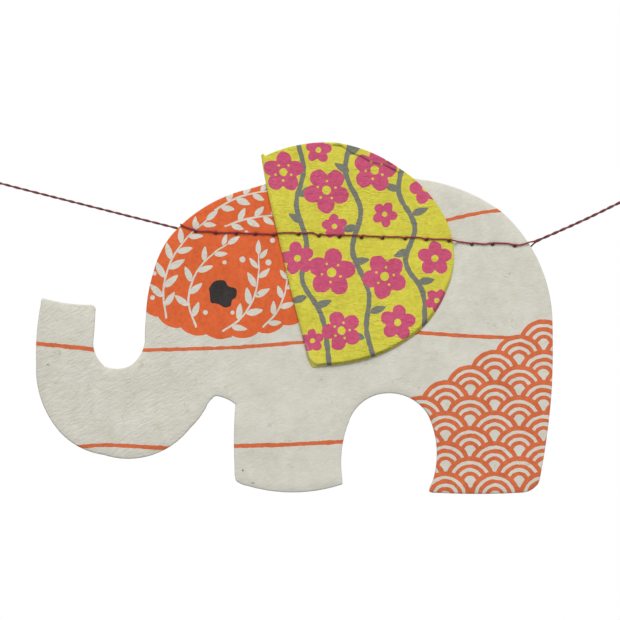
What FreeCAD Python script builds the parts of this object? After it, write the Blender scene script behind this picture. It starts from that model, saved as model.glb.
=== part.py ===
import FreeCAD, Part
import math
import os
import Sketcher

# Paper elephant of a sewn garland. Millimetres, +Z up, the printed front looks along -Y.
# The origin is the middle of the eye of the left hanging loop. The elephant is a flat die-cut
# sheet standing in the XZ plane, half its thickness each side of Y = 0. One machine seam holds
# the ear on its front: a needle thread on the front and a bobbin thread on the back. Past both
# edges the two threads twist into one taut thread, which ends in a knot and a small loop.

Vector = FreeCAD.Vector
doc = FreeCAD.newDocument("sewn_paper_elephant")

# ------------------------------------------------------------------ driving dimensions
dims = doc.addObject("Spreadsheet::Sheet", "dims")
cells = [0]


def put(alias, value):
    cells[0] += 1
    dims.set("A%d" % cells[0], alias)
    dims.set("B%d" % cells[0], "%g" % value)
    dims.setAlias("B%d" % cells[0], alias)


def size(alias):
    value = dims.get(alias)
    return float(value.Value) if hasattr(value, "Value") else float(value)


for alias, value in [
    ("datum_x", 14.356),  # lower left corner that both outlines are measured from
    ("datum_z", -63.671),
    ("paper_thickness", 0.6),
    ("ear_thickness", 0.45),
    ("needle_hole_dia", 1.0),
    ("strand_dia", 0.28),
    ("strand_gap", 0.01),  # daylight between a strand and the paper
    ("strand_offset", 0.145),  # of each strand from the middle of the twisted pair
    ("pair_dia", 0.56),
    ("dip_half_width", 0.14),  # the bottom of a stitch's dip into its hole
    ("lip_half_width", 0.33),  # where the strand leaves the surface for the hole
    ("needle_dip_y", -0.14),
    ("bobbin_dip_y", 0.16),
    ("stitch_radius", 0.16),
    ("ear_gap", 0.01),
    ("ear_lift_low", 0.3),  # how far the ear's lower edge stands off the body
    ("ear_lift_high", 0.3),
    ("ear_reach_low", 25.0),  # seam to lower edge
    ("ear_reach_high", 18.4),  # seam to upper edge
    ("ear_lift_power", 1.8),
    ("crease_from_x", 58.98),  # straight crease across the ear's upper edge
    ("crease_from_z", 69.25),
    ("crease_to_x", 71.78),
    ("crease_to_z", 63.44),
    ("crease_slope", 0.3),
    ("crease_softness", 0.3),
    ("tip_from_x", 53.3),  # line across the lower tip, past which it bends back
    ("tip_from_z", 29.4),
    ("tip_to_x", 57.2),
    ("tip_to_z", 26.0),
    ("tip_bend", 0.09),
    ("knot_length", 2.2),
    ("knot_dia", 1.65),
    ("knot_end_dia", 1.3),
    ("leg_offset", 0.295),  # of each leg of a loop from the knot's axis
    ("eye_reach", 3.6),  # knot's end to the middle of the loop's eye
    ("tail_length", 2.8),
]:
    put(alias, value)

# The body's outline, anticlockwise seen from the front: name, x, z, then the radius of the arc
# that starts there and +1 where it bulges outward, -1 where it is hollow.
BODY = [
    ("crown_a", 45.64, 61.43, 48.45, -1),
    ("brow_a", 41.72, 60.28, 28.24, +1),
    ("brow_b", 27.24, 51.36, 18.66, +1),
    ("face_a", 23.88, 44.40, 32.09, +1),
    ("face_b", 22.39, 35.69, 36.48, +1),
    ("nose_notch_a", 22.21, 31.04, 6.76, -1),
    ("nose_notch_b", 19.64, 26.33, 5.75, -1),
    ("nose_notch_c", 14.32, 26.07, 5.77, -1),
    ("trunk_inner_a", 12.24, 31.63, 106.97, +1),
    ("trunk_tip_a", 12.55, 36.67, 1.02, +1),
    ("trunk_tip_b", 12.36, 37.69, 1.30, +1),
    ("trunk_tip_c", 11.44, 37.98, 31.12, -1),
    ("trunk_tip_d", 2.36, 39.28, 1.34, +1),
    ("trunk_outer_a", 2.04, 38.20, 52.31, +1),
    ("trunk_outer_b", 1.13, 26.58, 18.43, +1),
    ("trunk_outer_c", 5.23, 13.83, 13.86, +1),
    ("trunk_under_a", 14.18, 8.86, 15.18, +1),
    ("trunk_under_b", 23.83, 8.90, 15.74, +1),
    ("chin_a", 30.96, 14.02, 16.74, +1),
    ("chin_b", 34.07, 18.06, 3.85, -1),
    ("chin_c", 35.25, 19.76, 0.99, -1),
    ("chin_d", 36.30, 20.23, 7.83, -1),
    ("foreleg_front_a", 39.75, 18.66, 95.47, +1),
    ("foreleg_front_b", 39.61, 6.01, 4.94, +1),
    ("forefoot_a", 39.92, 3.73, 5.27, +1),
    ("forefoot_b", 42.11, 2.83, 30.59, +1),
    ("forefoot_c", 60.47, 3.11, 3.69, +1),
    ("foreleg_back_a", 60.46, 4.46, 21.20, -1),
    ("belly_a", 61.73, 15.16, 8.05, -1),
    ("belly_b", 69.06, 20.78, 8.79, -1),
    ("hindleg_front_a", 77.05, 16.72, 17.48, -1),
    ("hindfoot_a", 77.92, 3.47, 3.37, +1),
    ("hindfoot_b", 77.35, 1.78, 1.83, +1),
    ("hindfoot_c", 78.77, 1.49, 142.59, +1),
    ("hindfoot_d", 95.82, 1.55, 3.91, +1),
    ("hindfoot_e", 97.65, 2.39, 2.71, +1),
    ("rump_a", 98.83, 4.28, 141.73, +1),
    ("rump_b", 101.10, 21.34, 162.67, +1),
    ("back_a", 101.24, 35.31, 29.23, +1),
    ("back_b", 91.41, 56.00, 33.56, +1),
    ("withers_a", 74.90, 62.39, 65.83, +1),
]
# The ear's outline, the same way round; radius 0 is a straight line.
EAR = [
    ("ear_front_a", 44.76, 66.89, 127.50, +1),
    ("ear_front_b", 47.51, 53.45, 0, 0),
    ("ear_front_c", 50.60, 40.26, 0, 0),
    ("ear_low_tip_a", 54.01, 27.16, 0, 0),
    ("ear_low_tip_b", 54.69, 25.88, 0, 0),
    ("ear_low_a", 56.65, 26.15, 34.63, +1),
    ("ear_low_b", 65.57, 27.59, 29.90, +1),
    ("ear_low_c", 74.61, 32.28, 19.75, +1),
    ("ear_rear_a", 80.59, 40.62, 16.81, +1),
    ("ear_rear_b", 82.02, 48.69, 16.41, +1),
    ("ear_high_a", 79.46, 56.34, 23.77, +1),
    ("ear_high_b", 71.59, 64.33, 28.35, +1),
    ("ear_high_c", 59.36, 69.32, 27.76, +1),
    ("ear_high_d", 51.45, 68.78, 24.57, +1),
    ("ear_high_tip_a", 45.59, 66.80, 0, 0),
    ("ear_high_tip_b", 45.05, 67.26, 0, 0),
]
# Needle holes, left to right. The ear is sewn through from the sixth to the thirteenth.
HOLES = [
    (32.05, 52.17), (35.95, 51.86), (39.93, 51.70), (43.63, 51.62), (47.22, 51.47), (52.03, 51.60),
    (55.99, 51.27), (59.95, 51.08), (64.21, 50.94), (68.29, 50.85), (72.67, 50.75), (76.77, 50.56),
    (81.15, 50.32), (85.61, 49.66), (89.63, 49.66), (93.93, 49.37),
]
EAR_FIRST, EAR_LAST = 5, 12

for table in (BODY, EAR):
    for name, x, z, radius, side in table:
        put(name + "_x", x)
        put(name + "_z", z)
        if side:
            put(name + "_radius", radius)
for number, (x, z) in enumerate(HOLES, 1):
    put("hole_%02d_x" % number, x)
    put("hole_%02d_z" % number, z)

# Points of the two free stretches, from the elephant outward: x, y, z in the frame of the origin.
LEFT_RUN = [(44.135, 0.62, -11.174), (26.30, 0.40, -6.68), (5.624, 0.09, -1.432)]
RIGHT_RUN = [(112.617, 0.0, -13.289), (120.60, 0.05, -9.83), (127.10, 0.07, -6.65), (132.248, 0.1, -4.102)]
for side, run in (("left", LEFT_RUN), ("right", RIGHT_RUN)):
    for number, point in enumerate(run, 1):
        for axis, value in zip("xyz", point):
            put("%s_run_%d_%s" % (side, number, axis), value)
# A loop's outline from the knot's end: distance outward along the thread, and across it.
LOOP = [
    (0.0, 1.0), (0.7, 1.0), (1.95, 0.98), (3.4, 1.64), (4.95, 1.66), (6.25, 0.86),
    (6.42, -0.66), (5.15, -1.60), (3.5, -1.68), (2.05, -1.04), (0.75, -1.0), (0.0, -1.0),
]
for number, (along, across) in enumerate(LOOP, 1):
    put("loop_%02d_along" % number, along)
    put("loop_%02d_across" % number, across)
doc.recompute()


# ------------------------------------------------------------------ sketches
def plane_of(body, role):
    return [f for f in body.Origin.OriginFeatures if f.Role == role][0]


def new_sketch(body, name, role):
    sketch = body.newObject("Sketcher::SketchObject", name)
    sketch.AttachmentSupport = [(plane_of(body, role), "")]
    sketch.MapMode = "FlatFace"
    return sketch


def tie(sketch, kind, args, name, expression):
    index = sketch.addConstraint(Sketcher.Constraint(kind, *args))
    sketch.renameConstraint(index, name)
    sketch.setExpression("Constraints." + name, expression)


def arc_between(p, q, radius, side):
    """The short arc from p to q: side +1 turns left, -1 turns right. It runs anticlockwise as stored."""
    chord = q.sub(p)
    half = chord.Length / 2.0
    rise = math.sqrt(max(radius * radius - half * half, 0.0))
    left = Vector(-chord.y, chord.x, 0).normalize()
    centre = (p + q) * 0.5 + left * (rise * side)
    start, end = (p, q) if side > 0 else (q, p)
    a = math.atan2(start.y - centre.y, start.x - centre.x)
    b = math.atan2(end.y - centre.y, end.x - centre.x)
    if b < a:
        b += 2 * math.pi
    return Part.ArcOfCircle(Part.Circle(centre, Vector(0, 0, 1), radius), a, b)


def outline_sketch(body, name, table):
    """A closed chain of arcs and lines; every node and every radius is tied to the sheet."""
    sketch = new_sketch(body, name, "XZ_Plane")
    corners = [Vector(size(r[0] + "_x"), size(r[0] + "_z"), 0) for r in table]
    first_end = []  # (start vertex, end vertex) of each edge in travel order
    for i, row in enumerate(table):
        p, q = corners[i], corners[(i + 1) % len(corners)]
        if row[4]:
            sketch.addGeometry(arc_between(p, q, size(row[0] + "_radius"), row[4]), False)
            first_end.append((1, 2) if row[4] > 0 else (2, 1))
        else:
            sketch.addGeometry(Part.LineSegment(p, q), False)
            first_end.append((1, 2))
    for i in range(len(table)):
        j = (i + 1) % len(table)
        sketch.addConstraint(Sketcher.Constraint("Coincident", i, first_end[i][1], j, first_end[j][0]))
    for i, row in enumerate(table):
        vertex = first_end[i][0]
        tie(sketch, "DistanceX", (-1, 1, i, vertex, corners[i].x), row[0] + "_x", "dims.%s_x" % row[0])
        tie(sketch, "DistanceY", (-1, 1, i, vertex, corners[i].y), row[0] + "_z", "dims.%s_z" % row[0])
        if row[4]:
            tie(sketch, "Radius", (i, size(row[0] + "_radius")), row[0] + "_radius", "dims.%s_radius" % row[0])
    return sketch


def hole_sketch(body, name, first, last):
    sketch = new_sketch(body, name, "XZ_Plane")
    radius = size("needle_hole_dia") / 2.0
    for i, number in enumerate(range(first, last + 1)):
        label = "hole_%02d" % (number + 1)
        x, z = size(label + "_x"), size(label + "_z")
        sketch.addGeometry(Part.Circle(Vector(x, z, 0), Vector(0, 0, 1), radius), False)
        tie(sketch, "DistanceX", (-1, 1, i, 3, x), label + "_x", "dims.%s_x" % label)
        tie(sketch, "DistanceY", (-1, 1, i, 3, z), label + "_z", "dims.%s_z" % label)
        if i:
            sketch.addConstraint(Sketcher.Constraint("Equal", 0, i))
    tie(sketch, "Diameter", (0, 2 * radius), "hole_dia", "dims.needle_hole_dia")
    return sketch


def at_datum(thing):
    thing.setExpression("Placement.Base.x", "dims.datum_x")
    thing.setExpression("Placement.Base.z", "dims.datum_z")


# ------------------------------------------------------------------ elephant body
body = doc.addObject("PartDesign::Body", "elephant_body")
body.Label = "elephant_body"
at_datum(body)
blank = body.newObject("PartDesign::Pad", "body_blank")
blank.Profile = outline_sketch(body, "body_outline", BODY)
blank.SideType = "Symmetric"
blank.setExpression("Length", "dims.paper_thickness")
doc.recompute()
blank_volume = blank.Shape.Volume

punched = body.newObject("PartDesign::Pocket", "body_needle_holes")
punched.Profile = hole_sketch(body, "body_holes", 0, len(HOLES) - 1)
punched.Type = "ThroughAll"
punched.SideType = "Symmetric"
doc.recompute()
print("body blank %.2f, punched %.2f mm3, holes should take %.3f, took %.3f" % (
    blank_volume, punched.Shape.Volume,
    len(HOLES) * math.pi * size("needle_hole_dia") ** 2 / 4 * size("paper_thickness"),
    blank_volume - punched.Shape.Volume))

# ------------------------------------------------------------------ ear
ear_blank = doc.addObject("PartDesign::Body", "ear_blank")
ear_blank.Label = "ear_blank"
at_datum(ear_blank)
ear_pad = ear_blank.newObject("PartDesign::Pad", "ear_die_cut")
ear_pad.Profile = outline_sketch(ear_blank, "ear_outline", EAR)
ear_pad.SideType = "Symmetric"
ear_pad.setExpression("Length", "dims.paper_thickness * 16")
doc.recompute()
ear_pad_volume = ear_pad.Shape.Volume
ear_punched = ear_blank.newObject("PartDesign::Pocket", "ear_needle_holes")
ear_punched.Profile = hole_sketch(ear_blank, "ear_holes", EAR_FIRST, EAR_LAST)
ear_punched.Type = "ThroughAll"
ear_punched.SideType = "Symmetric"
doc.recompute()
print("ear blank %.2f, punched %.2f mm3" % (ear_pad_volume, ear_punched.Shape.Volume))


def ear_back(x, z):
    """Y of the ear's back at a point measured from the datum: flat on the body along the seam,
    standing off below and above it, creased near the top and bent back at the lower tip."""
    x0, z0 = size("hole_06_x"), size("hole_06_z")
    x1, z1 = size("hole_13_x"), size("hole_13_z")
    away = z - (z0 + (z1 - z0) * (x - x0) / (x1 - x0))
    reach = size("ear_reach_high") if away > 0 else size("ear_reach_low")
    lift = size("ear_lift_high") if away > 0 else size("ear_lift_low")
    off = lift * (abs(away) / reach) ** size("ear_lift_power")
    ax, az = size("crease_from_x"), size("crease_from_z")
    bx, bz = size("crease_to_x"), size("crease_to_z")
    run = math.hypot(bx - ax, bz - az)
    past = (-(bz - az) * (x - ax) + (bx - ax) * (z - az)) / run
    soft = size("crease_softness")
    off += size("crease_slope") * soft * math.log1p(math.exp(min(past / soft, 40.0)))
    ax, az = size("tip_from_x"), size("tip_from_z")
    bx, bz = size("tip_to_x"), size("tip_to_z")
    run = math.hypot(bx - ax, bz - az)
    past = ((bz - az) * (x - ax) - (bx - ax) * (z - az)) / run
    if past > 0:
        off -= size("tip_bend") * past * past
    return -size("paper_thickness") / 2.0 - size("ear_gap") - max(off, 0.0)


grid = [[Vector(x, ear_back(x, z), z) for z in [23.5 + 0.75 * k for k in range(64)]]
        for x in [43.0 + 0.75 * k for k in range(55)]]
skin = Part.BSplineSurface()
skin.interpolate(grid)
slab = skin.toShape().extrude(Vector(0, -size("ear_thickness"), 0))
if slab.Volume < 0:
    slab = slab.reversed()
ear_sheet = doc.addObject("Part::Feature", "ear_sheet")
ear_sheet.Label = "ear_sheet"
ear_sheet.Shape = slab
ear_sheet.Placement = FreeCAD.Placement(Vector(size("datum_x"), 0, size("datum_z")), FreeCAD.Rotation())
ear = doc.addObject("Part::MultiCommon", "ear")
ear.Label = "ear"
ear.Shapes = [ear_blank, ear_sheet]
doc.recompute()
print("ear %.2f mm3, flat sheet of its outline %.2f" % (
    ear.Shape.Volume, ear_punched.Shape.Volume / (16 * size("paper_thickness")) * size("ear_thickness")))


# ------------------------------------------------------------------ threads
def rounded_wire(points, cap=None):
    """Straight runs joined by tangent arcs: each radius is 0.45 of the shorter run over the tangent
    of half the turn, or the cap if that is smaller. Returns the wire, its length and the radii."""
    edges, radii, here = [], [], points[0]
    for i in range(1, len(points) - 1):
        p, q, r = points[i - 1], points[i], points[i + 1]
        into, out = q.sub(p), r.sub(q)
        turn = into.getAngle(out)
        short = min(into.Length, out.Length)
        into.normalize()
        out.normalize()
        radius = 0.45 * short / math.tan(turn / 2.0)
        if cap:
            radius = min(radius, cap)
        trim = radius * math.tan(turn / 2.0)
        a, b = q - into * trim, q + out * trim
        inward = out.sub(into).normalize()
        middle = q + inward * (radius / math.cos(turn / 2.0) - radius)
        edges.append(Part.LineSegment(here, a).toShape())
        edges.append(Part.Arc(a, middle, b).toShape())
        radii.append(radius)
        here = b
    edges.append(Part.LineSegment(here, points[-1]).toShape())
    wire = Part.Wire(edges)
    return wire, wire.Length, radii


def tube(name, points, diameter_alias, cap=None):
    """A round thread swept along its route; the section's radius is tied to the sheet."""
    wire, length, radii = rounded_wire(points, cap)
    path = doc.addObject("Part::Feature", name + "_path")
    path.Shape = wire
    section = doc.addObject("Part::Circle", name + "_section")
    section.setExpression("Radius", "dims.%s / 2" % diameter_alias)
    section.Placement = FreeCAD.Placement(
        points[0], FreeCAD.Rotation(Vector(0, 0, 1), points[1].sub(points[0])))
    sweep = doc.addObject("Part::Sweep", name)
    sweep.Label = name
    sweep.Sections = [section]
    sweep.Spine = (path, ["Edge%d" % (k + 1) for k in range(len(wire.Edges))])
    sweep.Solid = True
    sweep.Frenet = False
    doc.recompute()
    expected = math.pi * size(diameter_alias) ** 2 / 4 * length
    print("%s: length %.2f, radii %s, volume %.4f, section x length %.4f" % (
        name, length, " ".join("%.2f" % r for r in radii), sweep.Shape.Volume, expected))
    return sweep, length


def frame_point(x, y, z):
    return Vector(x + size("datum_x"), y, z + size("datum_z"))


def seam_points(front_side):
    """The stitched stretch of one thread: along the surface, and down and up at every hole."""
    half = size("paper_thickness") / 2.0
    clear = size("strand_dia") / 2.0 + size("strand_gap")
    lip, dip = size("lip_half_width"), size("dip_half_width")
    holes = [Vector(size("hole_%02d_x" % n), 0, size("hole_%02d_z" % n)) for n in range(1, len(HOLES) + 1)]
    points = []
    for i, hole in enumerate(holes):
        before, after = holes[max(i - 1, 0)], holes[min(i + 1, len(holes) - 1)]
        along = after.sub(before).normalize()
        if front_side:
            on_ear = EAR_FIRST <= i <= EAR_LAST
            surface = -(half + clear + (size("ear_thickness") + size("ear_gap") if on_ear else 0))
            bottom = size("needle_dip_y")
        else:
            surface, bottom = half + clear, size("bobbin_dip_y")
        steps = [(-lip, surface), (-dip, bottom), (dip, bottom), (lip, surface)]
        if front_side and i == EAR_FIRST - 1:  # climbs from the hole onto the ear's edge
            steps = [(-lip, surface), (-dip, bottom), (dip, bottom), (0.32, surface),
                     (0.66, surface - size("ear_thickness") - size("ear_gap"))]
        for step, y in steps:
            at = hole + along * step
            points.append(frame_point(at.x, y, at.z))
        if front_side and i == EAR_LAST:  # and back down past the ear's rear edge
            low = -(half + clear)
            points.append(frame_point(82.18, surface, 50.17))
            points.append(frame_point(82.75, low, 50.09))
    return points


def run_points(side):
    count = {"left": len(LEFT_RUN), "right": len(RIGHT_RUN)}[side]
    return [Vector(*[size("%s_run_%d_%s" % (side, k, axis)) for axis in "xyz"]) for k in range(1, count + 1)]


left_run, right_run = run_points("left"), run_points("right")


def strand_start(run, sign):
    """Middle of one strand on the end face of the twisted pair, above (+1) or below (-1)."""
    out = run[0].sub(run[1]).normalize()
    up = Vector(0, 1, 0).cross(out).normalize()
    if up.z < 0:
        up = up * -1
    return run[0] + up * (sign * size("strand_offset")), out


half = size("paper_thickness") / 2.0
skim = half + size("strand_dia") / 2.0 + size("strand_gap")
start, heading = strand_start(left_run, +1)
needle_left = [  # behind the face's edge, back over it and onto the front
    start,
    start + heading * 0.3,
    start + heading * 0.46 + Vector(0, -0.05, 0.14),
    Vector(44.60, skim + 0.04, -10.66),
    Vector(43.80, skim, -10.40),
    Vector(43.43, skim, -10.03),
    Vector(43.43, -skim, -10.03),
    Vector(44.55, -skim, -10.72),
]
stop, heading = strand_start(right_run, +1)
needle_right = [  # off the back's edge to the join
    Vector(110.35, -skim, -13.70),
    Vector(111.25, -skim, -13.44),
    Vector(112.05, -0.12, -13.38),
    stop + heading * 0.25,
    stop,
]
needle, needle_length = tube("needle_thread", needle_left + seam_points(True) + needle_right, "strand_dia",
                             size("stitch_radius"))

start, heading = strand_start(left_run, -1)
bobbin_left = [start, start + heading * 0.4, start + heading * 1.0 + Vector(0, -0.10, 0.0)]
stop, heading = strand_start(right_run, -1)
bobbin_right = [
    Vector(110.70, skim, -14.50),
    Vector(111.62, skim, -14.13),
    Vector(112.20, 0.14, -13.66),
    stop + heading * 0.25,
    stop,
]
bobbin, bobbin_length = tube("bobbin_thread", bobbin_left + seam_points(False) + bobbin_right, "strand_dia",
                             size("stitch_radius"))

# Free stretches, knots and loops.
def across_of(out):
    side = Vector(0, 1, 0).cross(out).normalize()
    return side if side.z > 0 else side * -1


for side, run in (("left", left_run), ("right", right_run)):
    tube("thread_" + side, run, "pair_dia")
    out = run[-1].sub(run[-2]).normalize()
    across = across_of(out)
    knot_start = run[-1]
    knot_end = knot_start + out * size("knot_length")
    # the knot: a barrel with flat ends, along its own Z
    barrel = doc.addObject("Part::Ellipsoid", "knot_barrel_" + side)
    barrel.Angle1, barrel.Angle2, barrel.Angle3 = -90, 90, 360
    barrel.setExpression("Radius1", "dims.knot_length / 2 / sqrt(1 - (dims.knot_end_dia / dims.knot_dia) ^ 2)")
    barrel.setExpression("Radius2", "dims.knot_dia / 2")
    barrel.setExpression("Radius3", "dims.knot_dia / 2")
    barrel.setExpression("Placement.Base.z", "dims.knot_length / 2")
    core = doc.addObject("Part::Cylinder", "knot_core_" + side)
    core.setExpression("Radius", "dims.knot_dia")
    core.setExpression("Height", "dims.knot_length")
    knot = doc.addObject("Part::MultiCommon", "knot_" + side)
    knot.Label = "knot_" + side
    knot.Shapes = [barrel, core]
    knot.Placement = FreeCAD.Placement(knot_start, FreeCAD.Rotation(Vector(0, 0, 1), out))
    legs = []
    for number in range(1, len(LOOP) + 1):
        along, lateral = size("loop_%02d_along" % number), size("loop_%02d_across" % number)
        if number < 3 or number > len(LOOP) - 2:  # the two legs leave the knot side by side
            lateral = math.copysign(size("leg_offset"), lateral)
        legs.append(knot_end + out * along + across * lateral)
    loop, loop_length = tube("loop_ring_" + side, legs, "pair_dia")
    # the cut tail leaves the knot beside the taut thread
    forward = out.cross(across).normalize()
    root = knot_start - across * 0.54 - forward * 0.2
    tail_points = [root, root - out * (size("tail_length") * 0.45),
                   root - out * size("tail_length") * 0.9 - across * 0.55]
    tail, tail_length = tube("tail_" + side, tail_points, "pair_dia")
    print(side, "knot from", knot_start, "to", knot_end, "eye", knot_end + out * size("eye_reach"),
          "loop", loop_length, "tail", tail_length)

print("needle thread %.2f mm, bobbin thread %.2f mm between the twisted ends" % (needle_length, bobbin_length))
doc.recompute()

# ------------------------------------------------------------------ checks and files
PARTS = ["elephant_body", "ear", "needle_thread", "bobbin_thread",
         "thread_left", "thread_right", "knot_left", "knot_right",
         "loop_ring_left", "loop_ring_right", "tail_left", "tail_right"]
bad = [o.Name for o in doc.Objects if "Invalid" in o.State or "Error" in o.State]
if bad:
    raise RuntimeError("failed objects: %s" % bad)
for name in PARTS:
    thing = doc.getObject(name)
    shape = thing.Shape
    if shape.isNull() or not shape.isValid() or len(shape.Solids) != 1 or shape.Volume <= 0:
        raise RuntimeError("%s has no single valid solid" % name)
for thing in doc.Objects:
    if thing.TypeId == "Sketcher::SketchObject" and not thing.FullyConstrained:
        print("loose sketch", thing.Name)
if abs((blank_volume - punched.Shape.Volume) / (len(HOLES) * math.pi * size("needle_hole_dia") ** 2 / 4
       * size("paper_thickness")) - 1) > 0.02:
    raise RuntimeError("the needle holes took the wrong volume")
os.makedirs("parts", exist_ok=True)
for name in PARTS:
    doc.getObject(name).Shape.exportStep("parts/%s.step" % name)
print("wrote", len(PARTS), "parts")
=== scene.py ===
import math

import bpy
import numpy as np
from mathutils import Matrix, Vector, noise
from mathutils.geometry import delaunay_2d_cdt
from mathutils.kdtree import KDTree


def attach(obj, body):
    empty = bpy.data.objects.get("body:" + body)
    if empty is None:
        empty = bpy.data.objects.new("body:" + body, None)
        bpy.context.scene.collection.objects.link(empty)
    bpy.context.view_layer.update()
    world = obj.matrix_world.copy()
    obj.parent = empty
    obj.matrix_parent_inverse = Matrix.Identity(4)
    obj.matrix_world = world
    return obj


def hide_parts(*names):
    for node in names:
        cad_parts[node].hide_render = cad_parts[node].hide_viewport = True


# Paper elephant of a sewn garland. All tables are in millimetres in the row's frame: X to the
# right of the printed front, Z up, and the printed front looks along -Y.
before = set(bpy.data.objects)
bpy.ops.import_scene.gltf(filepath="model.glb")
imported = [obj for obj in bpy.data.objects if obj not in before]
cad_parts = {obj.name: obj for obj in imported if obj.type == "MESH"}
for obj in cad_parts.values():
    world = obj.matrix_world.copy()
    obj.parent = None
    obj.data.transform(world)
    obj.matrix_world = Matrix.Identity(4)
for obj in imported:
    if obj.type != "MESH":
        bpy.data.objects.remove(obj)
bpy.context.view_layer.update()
scene = bpy.context.scene
MM = 0.001
rng = np.random.default_rng(11)


def srgb(r, g, b):
    def one(c):
        c /= 255.0
        return c / 12.92 if c <= 0.04045 else ((c + 0.055) / 1.055) ** 2.4
    return (one(r), one(g), one(b), 1.0)


# ------------------------------------------------------------------ camera
cam_data = bpy.data.cameras.new("camera")
cam_data.lens = 100.0
cam_data.sensor_width = 36.0
cam_data.clip_start, cam_data.clip_end = 0.01, 20.0
cam = bpy.data.objects.new("camera", cam_data)
scene.collection.objects.link(cam)
cam.location = (0.068579, -0.3341, -0.026714)
cam.rotation_euler = (math.radians(90), 0, 0)
scene.camera = cam


# ------------------------------------------------------------------ material helpers
class Nodes:
    """Short way to write a node material; coordinates are object coordinates in millimetres."""

    def __init__(self, name):
        self.mat = bpy.data.materials.new(name)
        self.mat.use_nodes = True
        self.tree = self.mat.node_tree
        self.tree.nodes.clear()
        self.out = self.add("ShaderNodeOutputMaterial")
        self.shader = self.add("ShaderNodeBsdfPrincipled")
        self.link(self.shader.outputs[0], self.out.inputs[0])
        self.place = self.add("ShaderNodeTexCoord").outputs["Object"]
        self.mm = self.mapped((1000, 1000, 1000))

    def add(self, kind, **settings):
        node = self.tree.nodes.new(kind)
        for key, value in settings.items():
            setattr(node, key, value)
        return node

    def link(self, a, b):
        self.tree.links.new(a, b)

    def mapped(self, scale, source=None, turn=(0, 0, 0), times=1.0):
        node = self.add("ShaderNodeMapping")
        node.inputs["Scale"].default_value = [k * times for k in scale]
        node.inputs["Rotation"].default_value = turn
        self.link(source or self.place, node.inputs["Vector"])
        return node.outputs[0]

    def noise(self, scale, detail=4.0, rough=0.55, source=None, distortion=0.0):
        node = self.add("ShaderNodeTexNoise")
        node.inputs["Scale"].default_value = scale
        node.inputs["Detail"].default_value = detail
        node.inputs["Roughness"].default_value = rough
        node.inputs["Distortion"].default_value = distortion
        self.link(source or self.mm, node.inputs["Vector"])
        return node

    def voronoi(self, scale, feature="F1", source=None, jitter=1.0):
        node = self.add("ShaderNodeTexVoronoi", feature=feature)
        node.inputs["Scale"].default_value = scale
        node.inputs["Randomness"].default_value = jitter
        self.link(source or self.mm, node.inputs["Vector"])
        return node

    def maths(self, operation, a, b=None, clamp=False):
        node = self.add("ShaderNodeMath", operation=operation, use_clamp=clamp)
        for socket, value in ((node.inputs[0], a), (node.inputs[1], b)):
            if value is None:
                continue
            if isinstance(value, (int, float)):
                socket.default_value = value
            else:
                self.link(value, socket)
        return node.outputs[0]

    def fit(self, value, a, b, c=0.0, d=1.0, smooth=False):
        node = self.add("ShaderNodeMapRange", interpolation_type="SMOOTHSTEP" if smooth else "LINEAR")
        self.link(value, node.inputs["Value"])
        for name, number in (("From Min", a), ("From Max", b), ("To Min", c), ("To Max", d)):
            node.inputs[name].default_value = number
        return node.outputs[0]

    def mix(self, factor, a, b, blend="MIX"):
        node = self.add("ShaderNodeMix", data_type="RGBA", blend_type=blend)
        for socket, value in ((node.inputs[0], factor), (node.inputs[6], a), (node.inputs[7], b)):
            if isinstance(value, (int, float, tuple)):
                socket.default_value = value
            else:
                self.link(value, socket)
        return node.outputs[2]

    def attribute(self, name):
        return self.add("ShaderNodeAttribute", attribute_name=name).outputs["Fac"]

    def bump(self, height, strength, distance_mm, normal=None):
        node = self.add("ShaderNodeBump")
        node.inputs["Strength"].default_value = strength
        node.inputs["Distance"].default_value = distance_mm * MM
        self.link(height, node.inputs["Height"])
        if normal is not None:
            self.link(normal, node.inputs["Normal"])
        return node.outputs[0]

    def warped(self, amount, scale):
        """Millimetre coordinates pushed about by a soft noise, so that streaks bend."""
        push = self.noise(scale, 2.0)
        centred = self.add("ShaderNodeVectorMath", operation="SUBTRACT")
        self.link(push.outputs["Color"], centred.inputs[0])
        centred.inputs[1].default_value = (0.5, 0.5, 0.5)
        scaled = self.add("ShaderNodeVectorMath", operation="SCALE")
        scaled.inputs["Scale"].default_value = amount
        self.link(centred.outputs[0], scaled.inputs[0])
        added = self.add("ShaderNodeVectorMath", operation="ADD")
        self.link(self.mm, added.inputs[0])
        self.link(scaled.outputs[0], added.inputs[1])
        return added.outputs[0]


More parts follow.
